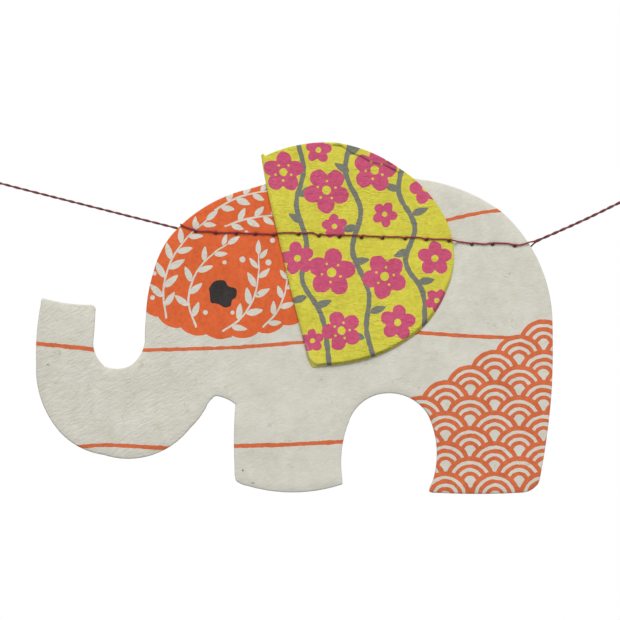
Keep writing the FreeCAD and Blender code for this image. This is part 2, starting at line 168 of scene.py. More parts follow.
def paper_material(name, light, dark, ink=None, ink_low=None, rim=0.16, fleck=1.0, wrinkle=0.0,
                   rough=0.9, bump=1.0, fibre=1.0, show=0.08, drift=0.25, rim_shade_colour=None, slant=0.0,
                   ridge_highlight=None):
    """Handmade paper: clouded pulp, bent streaks of fibre, single darker fibres and plant flecks, a
    toothy surface, and painted shade along the cut edge for the shade of its rolled-over rim. ink lays a printed colour
    over it, thinner in places, with pinholes where the tooth of the paper kept the ink off."""
    n = Nodes(name)
    bent = n.warped(2.2, 0.16)
    streak_space = n.mapped((0.55, 1.0, 2.6), bent, (0, math.radians(4), 0))
    cloud = n.noise(0.16, 5.0, 0.6).outputs["Fac"]
    streak = n.noise(1.1, 6.0, 0.62, streak_space).outputs["Fac"]
    grain = n.noise(5.2, 3.0, 0.6).outputs["Fac"]
    blotch = n.noise(0.55, 3.0, 0.5, bent).outputs["Fac"]

    # streaks that rise to the right, left in the pulp as it drained
    slanting = n.mapped((0.42, 1.0, 1.5), n.mapped((1, 1, 1), bent, (0, math.radians(32), 0)))
    slope = n.noise(1.5, 4.0, 0.60, slanting).outputs["Fac"]
    tone = n.maths("ADD", n.maths("MULTIPLY", cloud, 0.38), n.maths("MULTIPLY", streak, 0.22))
    tone = n.maths("ADD", tone, n.maths("MULTIPLY", blotch, 0.22))
    tone = n.maths("ADD", tone, n.maths("MULTIPLY", grain, 0.30))
    tone = n.maths("ADD", tone, n.maths("MULTIPLY", slope, 0.16))
    colour = n.mix(n.fit(tone, 0.47, 0.79), dark, light)
    # the pulp drifts a little towards green and towards pink
    green = n.fit(n.noise(0.42, 3.0).outputs["Fac"], 0.46, 0.68, 0.0, drift)
    pink = n.fit(n.noise(0.50, 3.0, 0.5, n.mapped((1, 1, 1), None, (1.1, 0.4, 0.7), 1000)).outputs["Fac"],
                 0.50, 0.70, 0.0, drift)
    colour = n.mix(green, colour, (0.93, 1.0, 0.86, 1.0), "MULTIPLY")
    colour = n.mix(pink, colour, (1.0, 0.945, 0.95, 1.0), "MULTIPLY")

    # single fibres: the edges of large bent cells, kept only here and there
    cell = n.voronoi(0.32, "DISTANCE_TO_EDGE", n.warped(5.0, 0.30)).outputs["Distance"]
    line = n.fit(cell, 0.006, 0.028, 1.0, 0.0)
    kept = n.fit(n.noise(0.33, 2.0).outputs["Fac"], 0.56, 0.66)
    fibres = n.maths("MULTIPLY", n.maths("MULTIPLY", line, kept), 0.42 * fibre, clamp=True)
    colour = n.mix(fibres, colour, tuple(c * k for c, k in zip(dark[:3], (0.66, 0.62, 0.44))) + (1.0,))
    # flecks of bark and leaf: short, some of them brown and some green
    fleck_space = n.mapped((1.0, 1.0, 1.6), n.warped(1.2, 0.8), (0, math.radians(28), 0))
    spots = n.voronoi(0.17, "F1", fleck_space)
    near = n.fit(spots.outputs["Distance"], 0.030, 0.055, 1.0, 0.0)
    random = n.add("ShaderNodeSeparateColor")
    n.link(spots.outputs["Color"], random.inputs[0])
    chosen = n.maths("GREATER_THAN", random.outputs[0], 0.62)
    fleck_colour = n.mix(random.outputs[1], srgb(112, 84, 58), srgb(118, 122, 82))
    flecks = n.maths("MULTIPLY", n.maths("MULTIPLY", near, chosen), 0.75 * fleck, clamp=True)
    colour = n.mix(flecks, colour, fleck_colour)

    if ink is not None:
        cover = n.fit(n.maths("ADD", n.maths("MULTIPLY", cloud, 0.55), n.maths("MULTIPLY", blotch, 0.45)),
                      0.40, 0.62)
        inked = n.mix(cover, ink_low, ink)
        inked = n.mix(n.fit(streak, 0.35, 0.75, 0.0, 0.30), inked, ink_low)
        patch = n.noise(1.5, 3.0, 0.6).outputs["Fac"]
        inked = n.mix(n.fit(patch, 0.50, 0.72, 0.0, 0.85), inked, tuple(c * 0.86 for c in ink_low[:3]) + (1.0,))
        inked = n.mix(n.fit(patch, 0.30, 0.46, 0.35, 0.0), inked, tuple(min(c * 1.12 + 0.01, 1) for c in ink[:3]) + (1.0,))
        inked = n.mix(green, inked, (0.94, 1.02, 0.90, 1.0), "MULTIPLY")
        inked = n.mix(pink, inked, (1.0, 0.95, 1.06, 1.0), "MULTIPLY")
        pinhole = n.fit(n.noise(3.4, 2.0, 0.5).outputs["Fac"], 0.72, 0.79, 0.0, 0.55)
        inked = n.mix(pinhole, inked, light)
        inked = n.mix(n.fit(grain, 0.56, 0.80, 0.0, show), inked, light)
        inked = n.mix(n.maths("MULTIPLY", flecks, 0.5), inked, fleck_colour)
        inked = n.mix(n.maths("MULTIPLY", fibres, 0.35), inked, tuple(c * 0.6 for c in ink_low[:3]) + (1.0,))
        colour = inked

    # painted shade: along the cut edge, for the shade of its rolled-over rim, and in each needle hole, with a little of
    # the thread's dye
    edge = n.maths("MULTIPLY", n.attribute("rim"), rim)
    edge = n.maths("MULTIPLY", edge, n.fit(n.noise(0.9, 2.0).outputs["Fac"], 0.3, 0.7, 0.6, 1.2), clamp=True)
    shaded = rim_shade_colour or tuple(c * k for c, k in zip(dark[:3], (0.42, 0.39, 0.32))) + (1.0,)
    colour = n.mix(edge, colour, shaded)
    # painted shade in the crease's valley, where its fibres are broken too
    crease_shade = n.maths("MULTIPLY", n.attribute("crease"), 0.95, clamp=True)
    colour = n.mix(crease_shade, colour, shaded)
    # painted highlight along the ridge of the bent-back corner
    if ridge_highlight is not None:
        colour = n.mix(n.maths("MULTIPLY", n.attribute("ridge_highlight"), 0.75, clamp=True), colour, ridge_highlight)
    # painted shade in and round each needle hole, near black, with a little of the thread's dye
    hole_shade_and_dye = n.maths("MULTIPLY", n.attribute("hole"), 0.72, clamp=True)
    colour = n.mix(hole_shade_and_dye, colour, (0.035, 0.018, 0.016, 1.0))
    n.link(colour, n.shader.inputs["Base Color"])

    height = n.maths("ADD", n.maths("MULTIPLY", streak, 0.62), n.maths("MULTIPLY", grain, 0.24))
    height = n.maths("ADD", height, n.maths("MULTIPLY", fibres, 0.25))
    normal = n.bump(height, 0.45 * bump, 0.10)
    if slant:
        # strongest towards the trunk, faint over the back
        side = n.add("ShaderNodeSeparateXYZ")
        n.link(n.mm, side.inputs[0])
        strength = n.fit(side.outputs[0], 38.0, 66.0, 1.0, 0.30, smooth=True)
        normal = n.bump(n.maths("MULTIPLY", slope, strength), 0.9 * slant, 0.20, normal)
    fine = n.noise(11.0, 3.0, 0.6).outputs["Fac"]
    normal = n.bump(fine, 0.30 * bump, 0.022, normal)
    if wrinkle:
        # shallow, mostly level creases of sized paper
        crease_space = n.mapped((0.30, 1.0, 1.25), n.warped(1.6, 0.35), (0, math.radians(-5), 0))
        ridge = n.noise(0.62, 3.0, 0.5, crease_space).outputs["Fac"]
        ridge = n.maths("ABSOLUTE", n.maths("SUBTRACT", ridge, 0.5))
        ridge = n.fit(ridge, 0.0, 0.045, 1.0, 0.0, smooth=True)
        some = n.fit(n.noise(0.14, 2.0).outputs["Fac"], 0.38, 0.56)
        normal = n.bump(n.maths("MULTIPLY", ridge, some), 0.65 * wrinkle, 0.09, normal)
        fine_space = n.mapped((0.22, 1.0, 1.7), n.warped(2.0, 0.22), (0, math.radians(-3), 0))
        thread = n.noise(1.0, 4.0, 0.6, fine_space).outputs["Fac"]
        normal = n.bump(thread, 0.6 * wrinkle, 0.08, normal)
    n.link(normal, n.shader.inputs["Normal"])
    rough_map = n.fit(grain, 0.3, 0.7, rough - 0.06, min(rough + 0.05, 1.0))
    n.link(rough_map, n.shader.inputs["Roughness"])
    n.shader.inputs["Specular IOR Level"].default_value = 0.22
    return n.mat


def thread_material(name, light, dark, sheen):
    """Plied sewing thread: filaments along the ply, painted lighter on its crowns and with painted shade in its
    grooves.
    """
    n = Nodes(name)
    crown = n.attribute("crown")
    along = n.attribute("fibre")
    mm = n.noise(3.5, 3.0, 0.6).outputs["Fac"]
    hair = n.noise(22.0, 3.0, 0.7).outputs["Fac"]
    # painted shade in the grooves between plies, lighter on the crowns
    tone = n.maths("ADD", n.maths("MULTIPLY", crown, 0.55), n.maths("MULTIPLY", hair, 0.45))
    tone = n.maths("ADD", tone, n.maths("MULTIPLY", n.maths("SUBTRACT", mm, 0.5), 0.5))
    tone = n.maths("ADD", tone, n.maths("MULTIPLY", n.maths("SINE", n.maths("MULTIPLY", along, 1.0)), 0.08))
    colour = n.mix(n.fit(tone, 0.25, 0.95), dark, light)
    n.link(colour, n.shader.inputs["Base Color"])
    n.link(n.fit(hair, 0.3, 0.7, 0.48, 0.70), n.shader.inputs["Roughness"])
    n.link(n.bump(n.maths("ADD", hair, crown), 0.5, 0.02), n.shader.inputs["Normal"])
    n.shader.inputs["Specular IOR Level"].default_value = 0.35
    n.shader.inputs["Sheen Weight"].default_value = sheen
    n.shader.inputs["Sheen Roughness"].default_value = 0.45
    return n.mat


MAROON = thread_material("thread_maroon", srgb(184, 66, 76), srgb(112, 28, 38), 0.10)
DARK = thread_material("thread_dark", srgb(128, 62, 66), srgb(66, 30, 34), 0.08)
# where the two are twisted together they rub off on each other, and differ less
PAIR_MAROON = thread_material("thread_maroon_twisted", srgb(170, 82, 90), srgb(108, 44, 52), 0.10)
PAIR_DARK = thread_material("thread_dark_twisted", srgb(134, 72, 76), srgb(76, 38, 42), 0.08)


# ------------------------------------------------------------------ threads
def spline_line(points_mm, resolution=14):
    """Points along one smooth NURBS spline through the route, in millimetres."""
    curve = bpy.data.curves.new("route", "CURVE")
    curve.dimensions = "3D"
    curve.resolution_u = resolution
    spline = curve.splines.new("NURBS")
    spline.points.add(len(points_mm) - 1)
    for point, place in zip(spline.points, points_mm):
        point.co = (place[0] * MM, place[1] * MM, place[2] * MM, 1.0)
    spline.order_u = 3
    spline.use_endpoint_u = True
    spline.resolution_u = resolution
    holder = bpy.data.objects.new("route", curve)
    mesh = bpy.data.meshes.new_from_object(holder)
    line = np.array([v.co[:] for v in mesh.vertices], float) / MM
    bpy.data.meshes.remove(mesh)
    bpy.data.objects.remove(holder)
    bpy.data.curves.remove(curve)
    return line


def evenly(line, step):
    """The line again with points about a step apart, and its length up to each of them."""
    gap = np.linalg.norm(np.diff(line, axis=0), axis=1)
    keep = np.concatenate([[True], gap > 1e-7])
    line = line[keep]
    along = np.concatenate([[0], np.cumsum(np.linalg.norm(np.diff(line, axis=0), axis=1))])
    at = np.linspace(0, along[-1], max(3, int(math.ceil(along[-1] / step)) + 1))
    points = np.stack([np.interp(at, along, line[:, k]) for k in range(3)], axis=1)
    return points, at


def carried_frame(points, first_up):
    """Tangents and a pair of normals that turn no more than the line does."""
    tangent = np.gradient(points, axis=0)
    tangent /= np.linalg.norm(tangent, axis=1)[:, None]
    normal = np.zeros_like(points)
    n = np.array(first_up, float)
    for i, t in enumerate(tangent):
        n = n - t * n.dot(t)
        n /= np.linalg.norm(n)
        normal[i] = n
    return tangent, normal, np.cross(tangent, normal)


class Tubes:
    """Collects plied threads as one mesh, with a material slot for each thread's colour."""

    def __init__(self):
        self.verts, self.faces, self.slots, self.crown, self.fibre = [], [], [], [], []
        self.count = 0

    def strand(self, points, radius, slot, first_up=(0, 0, 1), sides=12, plies=3, pitch=0.85, depth=0.09,
               taper=0.0, start_phase=0.0):
        tangent, normal, side = carried_frame(points, first_up)
        along = np.concatenate([[0], np.cumsum(np.linalg.norm(np.diff(points, axis=0), axis=1))])
        around = np.linspace(0, 2 * math.pi, sides, endpoint=False)
        turn = 2 * math.pi * along / pitch + start_phase
        wave = np.cos(plies * (around[None, :] - turn[:, None]))
        loose = 1.0 + 0.05 * np.sin(along * 1.7 + start_phase) + 0.04 * np.sin(along * 5.3)
        width = radius * (1.0 - depth + depth * wave) * loose[:, None]
        if taper:
            width *= np.clip(1.0 - np.clip((along - (along[-1] - taper)) / taper, 0, 1) * 0.35, 0, 1)[:, None]
        ring = (points[:, None, :] + width[:, :, None] * (np.cos(around)[None, :, None] * normal[:, None, :]
                + np.sin(around)[None, :, None] * side[:, None, :]))
        base = self.count
        rows = len(points)
        self.verts.append(ring.reshape(-1, 3))
        self.crown.append(((wave + 1) / 2).ravel())
        self.fibre.append((turn[:, None] * 3 + around[None, :] * 5).ravel())
        i, j = np.meshgrid(np.arange(rows - 1), np.arange(sides), indexing="ij")
        k = (j + 1) % sides
        quad = np.stack([i * sides + j, (i + 1) * sides + j, (i + 1) * sides + k, i * sides + k], axis=-1)
        quad = quad.reshape(-1, 4) + base
        self.faces += [tuple(q) for q in quad[:, ::-1].tolist()]
        self.slots += [slot] * len(quad)
        # domed ends
        for end, row, sign in ((points[0], 0, -1), (points[-1], rows - 1, 1)):
            tip = end + tangent[row] * sign * radius * 0.45
            middle = (ring[row] - end) * 0.66 + end + tangent[row] * sign * radius * 0.30
            self.verts.append(np.vstack([middle, tip[None]]))
            self.crown.append(np.full(sides + 1, 0.4))
            self.fibre.append(np.zeros(sides + 1))
            start = base + rows * sides + (0 if sign < 0 else sides + 1)
            for a in range(sides):
                b = (a + 1) % sides
                outer = [base + row * sides + a, base + row * sides + b]
                quad_ = (outer[0], outer[1], start + b, start + a)
                cap = (start + a, start + b, start + sides)
                if sign > 0:
                    self.faces += [quad_, cap]
                else:
                    self.faces += [quad_[::-1], cap[::-1]]
                self.slots += [slot, slot]
        self.count = base + rows * sides + 2 * (sides + 1)

    def build(self, name, materials, slot_name, *nodes):
        mesh = bpy.data.meshes.new(name)
        mesh.from_pydata((np.vstack(self.verts) * MM).tolist(), [], self.faces)
        for material in materials:
            mesh.materials.append(material)
        mesh.polygons.foreach_set("material_index", np.array(self.slots, np.int32))
        mesh.polygons.foreach_set("use_smooth", np.ones(len(mesh.polygons), bool))
        for key, data in (("crown", self.crown), ("fibre", self.fibre)):
            attribute = mesh.attributes.new(key, "FLOAT", "POINT")
            attribute.data.foreach_set("value", np.concatenate(data).astype(np.float32))
        mesh.update()
        thing = bpy.data.objects.new(name, mesh)
        scene.collection.objects.link(thing)
        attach(thing, "root")
        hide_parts(*nodes)
        return thing


STRAND = 0.28  # diameter of one thread
SETTLED = {"left": (0.106, 0.158), "right": (0.126, 0.172)}  # offset and radius of the strands once twisted
OFFSET = 0.145  # of each strand where the pair leaves the elephant
TWIST = {"left": 3.7, "right": 3.43}  # length of a full turn of the pair
KNOT_LENGTH = 2.2
LEG = 0.295
LEFT_RUN = [(44.135, 0.62, -11.174), (26.30, 0.40, -6.68), (5.624, 0.09, -1.432)]
RIGHT_RUN = [(112.617, 0.0, -13.289), (120.60, 0.05, -9.83), (127.10, 0.07, -6.65), (132.248, 0.1, -4.102)]
LOOP = [
    (0.0, LEG), (0.7, LEG), (1.95, 0.98), (3.4, 1.64), (4.95, 1.66), (6.25, 0.86),
    (6.42, -0.66), (5.15, -1.60), (3.5, -1.68), (2.05, -1.04), (0.75, -LEG), (0.0, -LEG),
]


def across_of(out):
    side = np.cross((0, 1, 0), out)
    side /= np.linalg.norm(side)
    return side if side[2] > 0 else -side


def free_thread(name, run, thread_node, knot_node, loop_node, tail_node):
    """The taut twisted pair, its knot, its loop back into the knot and the cut tail."""
    run = [np.array(p, float) for p in run]
    out = run[-1] - run[-2]
    out /= np.linalg.norm(out)
    across = across_of(out)
    forward = np.cross(out, across)
    forward /= np.linalg.norm(forward)
    knot_start = run[-1]
    knot_end = knot_start + out * KNOT_LENGTH
    loop = [knot_end + out * a + across * b for a, b in LOOP]
    root = knot_start - across * 0.54 - forward * 0.2
    tail = [root, root - out * 1.26, root - out * 2.52 - across * 0.55]
    route = run + loop + tail
    line = spline_line(route, 24)
    points, along = evenly(line, 0.085)
    first = run[0] - run[1]
    up = across_of(first / np.linalg.norm(first))
    tangent, normal, side = carried_frame(points, up)
    hand = 1.0 if name.endswith("left") else -1.0
    pitch = TWIST[name.split("_")[-1]]
    settled, thick = SETTLED[name.split("_")[-1]]
    off = settled + (OFFSET - settled) * np.exp(-along / 0.5)
    ramp = 0.25  # the strands leave the elephant one above the other, then the twist sets in
    turn = hand * 2 * math.pi / pitch * (along - ramp * (1 - np.exp(-along / ramp)))
    turn = turn + 0.20 * np.sin(along / 4.1) + 0.12 * np.sin(along / 1.9)
    turn -= turn[0]
    tubes = Tubes()
    for slot, phase in ((0, 0.0), (1, math.pi)):
        angle = turn + phase
        strand = points + off[:, None] * (np.cos(angle)[:, None] * normal + np.sin(angle)[:, None] * side)
        tubes.strand(strand, thick, slot, up, taper=0.25, start_phase=1.3 * slot)
    piece = tubes.build(name, (PAIR_MAROON, PAIR_DARK), "twisted_thread", thread_node, loop_node, tail_node)

    # the knot: both threads wound round the two legs, tight, with one turn laid slanting over them
    wraps = Tubes()
    turns, radius = 3.4, 0.60
    t = np.linspace(0, 1, 420)
    centre = knot_start + out * 0.14 + np.outer(t, out) * (KNOT_LENGTH - 0.28)
    swell = 0.86 + 0.14 * np.sin(math.pi * t)
    for slot, shift in ((0, 0.0), (1, 0.5)):
        angle = 2 * math.pi * turns * t + shift * 0.0
        lead = (shift - 0.25) * (KNOT_LENGTH - 0.28) / turns
        wound = (centre + out * lead * 0.62 + (radius * swell)[:, None]
                 * (np.cos(angle)[:, None] * across + np.sin(angle)[:, None] * forward))
        wraps.strand(wound, STRAND / 2, slot, out, start_phase=0.7 * slot)
    # the slanting turn
    s = np.linspace(-0.15, 1.0, 150)
    for slot, lift in ((0, 0.0), (1, 0.27)):
        angle = math.pi * (1.02 * s) + 0.35
        over = (knot_start + np.outer(0.32 + s * 1.35 + lift, out)
                + (radius + 0.02 + 0.17 * np.sin(np.clip(s, 0, 1) * math.pi))[:, None]
                * (np.cos(angle)[:, None] * across - np.sin(angle)[:, None] * forward))
        wraps.strand(over, STRAND / 2, slot, out, start_phase=2.1 * slot)
    # the two legs and the incoming thread where they run through the knot
    for slot, a, b in ((0, (LEG, 0.0), (OFFSET, 0.0)), (1, (-LEG, 0.0), (-OFFSET, 0.0)),
                       (0, (-0.05, 0.25), (-0.40, -0.20))):
        start = knot_end + across * a[0] + forward * a[1]
        stop = knot_start + across * b[0] + forward * b[1]
        core = start + np.outer(np.linspace(0, 1, 30), stop - start)
        wraps.strand(core, STRAND / 2 * 1.15, slot, across)
    knot = wraps.build("knot_" + name.split("_")[-1] + "_wound", (PAIR_MAROON, PAIR_DARK), "twisted_thread", knot_node)
    return piece


free_thread("cord_left", LEFT_RUN, "thread_left", "knot_left", "loop_ring_left", "tail_left")
free_thread("cord_right", RIGHT_RUN, "thread_right", "knot_right", "loop_ring_right", "tail_right")

# ------------------------------------------------------------------ outlines
DATUM = (14.356, -63.671)
# x, z from the datum, the radius of the arc that starts there, and +1 bulging, -1 hollow, 0 straight
BODY = [
    (45.64, 61.43, 48.45, -1), (41.72, 60.28, 28.24, +1), (27.24, 51.36, 18.66, +1), (23.88, 44.40, 32.09, +1),
    (22.39, 35.69, 36.48, +1), (22.21, 31.04, 6.76, -1), (19.64, 26.33, 5.75, -1), (14.32, 26.07, 5.77, -1),
    (12.24, 31.63, 106.97, +1), (12.55, 36.67, 1.02, +1), (12.36, 37.69, 1.30, +1), (11.44, 37.98, 31.12, -1),
    (2.36, 39.28, 1.34, +1), (2.04, 38.20, 52.31, +1), (1.13, 26.58, 18.43, +1), (5.23, 13.83, 13.86, +1),
    (14.18, 8.86, 15.18, +1), (23.83, 8.90, 15.74, +1), (30.96, 14.02, 16.74, +1), (34.07, 18.06, 3.85, -1),
    (35.25, 19.76, 0.99, -1), (36.30, 20.23, 7.83, -1), (39.75, 18.66, 95.47, +1), (39.61, 6.01, 4.94, +1),
    (39.92, 3.73, 5.27, +1), (42.11, 2.83, 30.59, +1), (60.47, 3.11, 3.69, +1), (60.46, 4.46, 21.20, -1),
    (61.73, 15.16, 8.05, -1), (69.06, 20.78, 8.79, -1), (77.05, 16.72, 17.48, -1), (77.92, 3.47, 3.37, +1),
    (77.35, 1.78, 1.83, +1), (78.77, 1.49, 142.59, +1), (95.82, 1.55, 3.91, +1), (97.65, 2.39, 2.71, +1),
    (98.83, 4.28, 141.73, +1), (101.10, 21.34, 162.67, +1), (101.24, 35.31, 29.23, +1), (91.41, 56.00, 33.56, +1),
    (74.90, 62.39, 65.83, +1),
]
EAR = [
    (44.76, 66.89, 127.50, +1), (47.51, 53.45, 0, 0), (50.60, 40.26, 0, 0), (54.01, 27.16, 0, 0),
    (54.69, 25.88, 0, 0), (56.65, 26.15, 34.63, +1), (65.57, 27.59, 29.90, +1), (74.61, 32.28, 19.75, +1),
    (80.59, 40.62, 16.81, +1), (82.02, 48.69, 16.41, +1), (79.46, 56.34, 23.77, +1), (71.59, 64.33, 28.35, +1),
    (59.36, 69.32, 27.76, +1), (51.45, 68.78, 24.57, +1), (45.59, 66.80, 0, 0), (45.05, 67.26, 0, 0),
]
HOLES = [
    (32.05, 52.17), (35.95, 51.86), (39.93, 51.70), (43.63, 51.62), (47.22, 51.47), (52.03, 51.60),
    (55.99, 51.27), (59.95, 51.08), (64.21, 50.94), (68.29, 50.85), (72.67, 50.75), (76.77, 50.56),
    (81.15, 50.32), (85.61, 49.66), (89.63, 49.66), (93.93, 49.37),
]
EAR_FIRST, EAR_LAST = 5, 12
HALF = 0.3  # half the body's thickness
EAR_THICK = 0.45
EAR_GAP = 0.01
hole_xz = np.array(HOLES) + DATUM


def outline_points(table, step):
    """The outline's arcs and lines as points about a step apart, anticlockwise seen from the front."""
    points = []
    for i, (x, z, radius, side) in enumerate(table):
        p = np.array((x, z)) + DATUM
        q = np.array(table[(i + 1) % len(table)][:2]) + DATUM
        chord = q - p
        reach = np.linalg.norm(chord)
        if side == 0:
            count = max(1, int(round(reach / step)))
            points += [p + chord * k / count for k in range(count)]
            continue
        left = np.array((-chord[1], chord[0])) / reach
        centre = (p + q) / 2 + left * side * math.sqrt(max(radius ** 2 - reach ** 2 / 4, 0.0))
        a = math.atan2(*(p - centre)[::-1])
        b = math.atan2(*(q - centre)[::-1])
        sweep = (b - a + math.pi) % (2 * math.pi) - math.pi
        count = max(2, int(round(abs(sweep) * radius / step)))
        points += [centre + radius * np.array((math.cos(a + sweep * k / count), math.sin(a + sweep * k / count)))
                   for k in range(count)]
    return np.array(points)


# ------------------------------------------------------------------ flat shapes of the print
def px(*pairs):
    """Places read off the front view, one picture step being 0.194 mm, as points in the frame."""
    return np.array([((x + 44) * 0.194, (171.8 - y) * 0.194) for x, y in pairs])


def resample(points, step, closed=True):
    points = np.array(points, float)
    if closed:
        points = np.vstack([points, points[:1]])
    along = np.concatenate([[0], np.cumsum(np.linalg.norm(np.diff(points, axis=0), axis=1))])
    count = max(4 if closed else 2, int(round(along[-1] / step)))
    at = np.linspace(0, along[-1], count + 1)
    if closed:
        at = at[:-1]
    return np.stack([np.interp(at, along, points[:, k]) for k in range(2)], axis=1)


def smooth_line(points, count=60):
    """A soft line through the given points."""
    points = np.array(points, float)
    if len(points) < 3:
        t = np.linspace(0, 1, count)[:, None]
        return points[0] * (1 - t) + points[-1] * t
    ends = np.vstack([2 * points[0] - points[1], points, 2 * points[-1] - points[-2]])
    out = []
    for i in range(1, len(ends) - 2):
        a, b, c, d = ends[i - 1:i + 3]
        for t in np.linspace(0, 1, max(4, count // (len(points) - 1)), endpoint=False):
            out.append(0.5 * (2 * b + (c - a) * t + (2 * a - 5 * b + 4 * c - d) * t * t
                              + (3 * b - a - 3 * c + d) * t ** 3))
    out.append(points[-1])
    return np.array(out)


def hand_cut(points, amount=0.075, seed=0.0, step=0.30, sway=0.0):
    """The wavering edge of a hand-cut printing block; sway bends the whole shape out of true."""
    points = resample(points, step)
    moved = []
    for x, z in points:
        a = noise.noise_vector(Vector((x * 0.75, z * 0.75, seed)))
        b = noise.noise_vector(Vector((x * 2.4, z * 2.4, seed + 7.0)))
        c = noise.noise_vector(Vector((x * 0.30, z * 0.30, seed + 13.0)))
        moved.append((x + amount * (1.3 * a.x + 0.9 * b.x) + sway * c.x,
                      z + amount * (1.3 * a.y + 0.9 * b.y) + sway * c.y))
    return np.array(moved)


def disc(centre, radius, start=0.0, end=2 * math.pi, flat=1.0):
    count = max(10, int(radius * abs(end - start) / 0.3))
    angle = np.linspace(start, end, count, endpoint=end - start < 2 * math.pi - 1e-6)
    return np.array(centre) + radius * np.stack([np.cos(angle), np.sin(angle) * flat], axis=1)


def ribbon(line, width, seed=0.0, vary=0.10, taper=(1.0, 1.0)):
    """A printed line of nearly even width along a path, as a closed shape."""
    line = np.array(line, float)
    along = np.concatenate([[0], np.cumsum(np.linalg.norm(np.diff(line, axis=0), axis=1))])
    t = along / along[-1]
    direction = np.gradient(line, axis=0)
    direction /= np.linalg.norm(direction, axis=1)[:, None]
    left = np.stack([-direction[:, 1], direction[:, 0]], axis=1)
    half = np.array([width / 2 * (1 + vary * noise.noise(Vector((a * 0.8, seed, 3.1)))) for a in along])
    half *= np.interp(t, [0, 0.5, 1], [taper[0], 1.0, taper[1]])
    return np.vstack([line + left * half[:, None], (line - left * half[:, None])[::-1]])


def leaf(base, length, width, angle, belly=0.42):
    t = np.linspace(0, 1, 13)
    half = width / 2 * np.sin(math.pi * t ** (math.log(0.5) / math.log(belly))) ** 0.8
    local = np.vstack([np.stack([t * length, half], axis=1), np.stack([t * length, -half], axis=1)[-2:0:-1]])
    c, s = math.cos(angle), math.sin(angle)
    return np.array(base) + local @ np.array([[c, s], [-s, c]])


def blossom(centre, radius, turn=0.0, petals=5, waist=0.60):
    angle = np.linspace(0, 2 * math.pi, 90, endpoint=False)
    r = radius * (waist + (1 - waist) * np.abs(np.cos(petals * (angle - turn) / 2)) ** 0.75)
    return np.array(centre) + r[:, None] * np.stack([np.cos(angle), np.sin(angle)], axis=1)


def inside(points, shape):
    """Which points lie in a closed shape."""
    found = np.zeros(len(points), bool)
    low, high = shape.min(0), shape.max(0)
    near = np.where((points[:, 0] >= low[0]) & (points[:, 0] <= high[0])
                    & (points[:, 1] >= low[1]) & (points[:, 1] <= high[1]))[0]
    if not len(near):
        return found
    p = points[near]
    a, b = shape, np.roll(shape, -1, axis=0)
    crossings = np.zeros(len(near), int)
    for start in range(0, len(a), 200):
        a_, b_ = a[start:start + 200], b[start:start + 200]
        cut = (a_[None, :, 1] > p[:, None, 1]) != (b_[None, :, 1] > p[:, None, 1])
        rise = np.where(b_[:, 1] - a_[:, 1] == 0, 1e-12, b_[:, 1] - a_[:, 1])
        x = (b_[:, 0] - a_[:, 0])[None, :] * (p[:, None, 1] - a_[None, :, 1]) / rise[None, :] + a_[None, :, 0]
        crossings += (cut & (p[:, None, 0] < x)).sum(1)
    found[near] = crossings % 2 == 1
    return found


def soft(value, a, b):
    t = np.clip((value - a) / (b - a), 0, 1)
    return t * t * (3 - 2 * t)


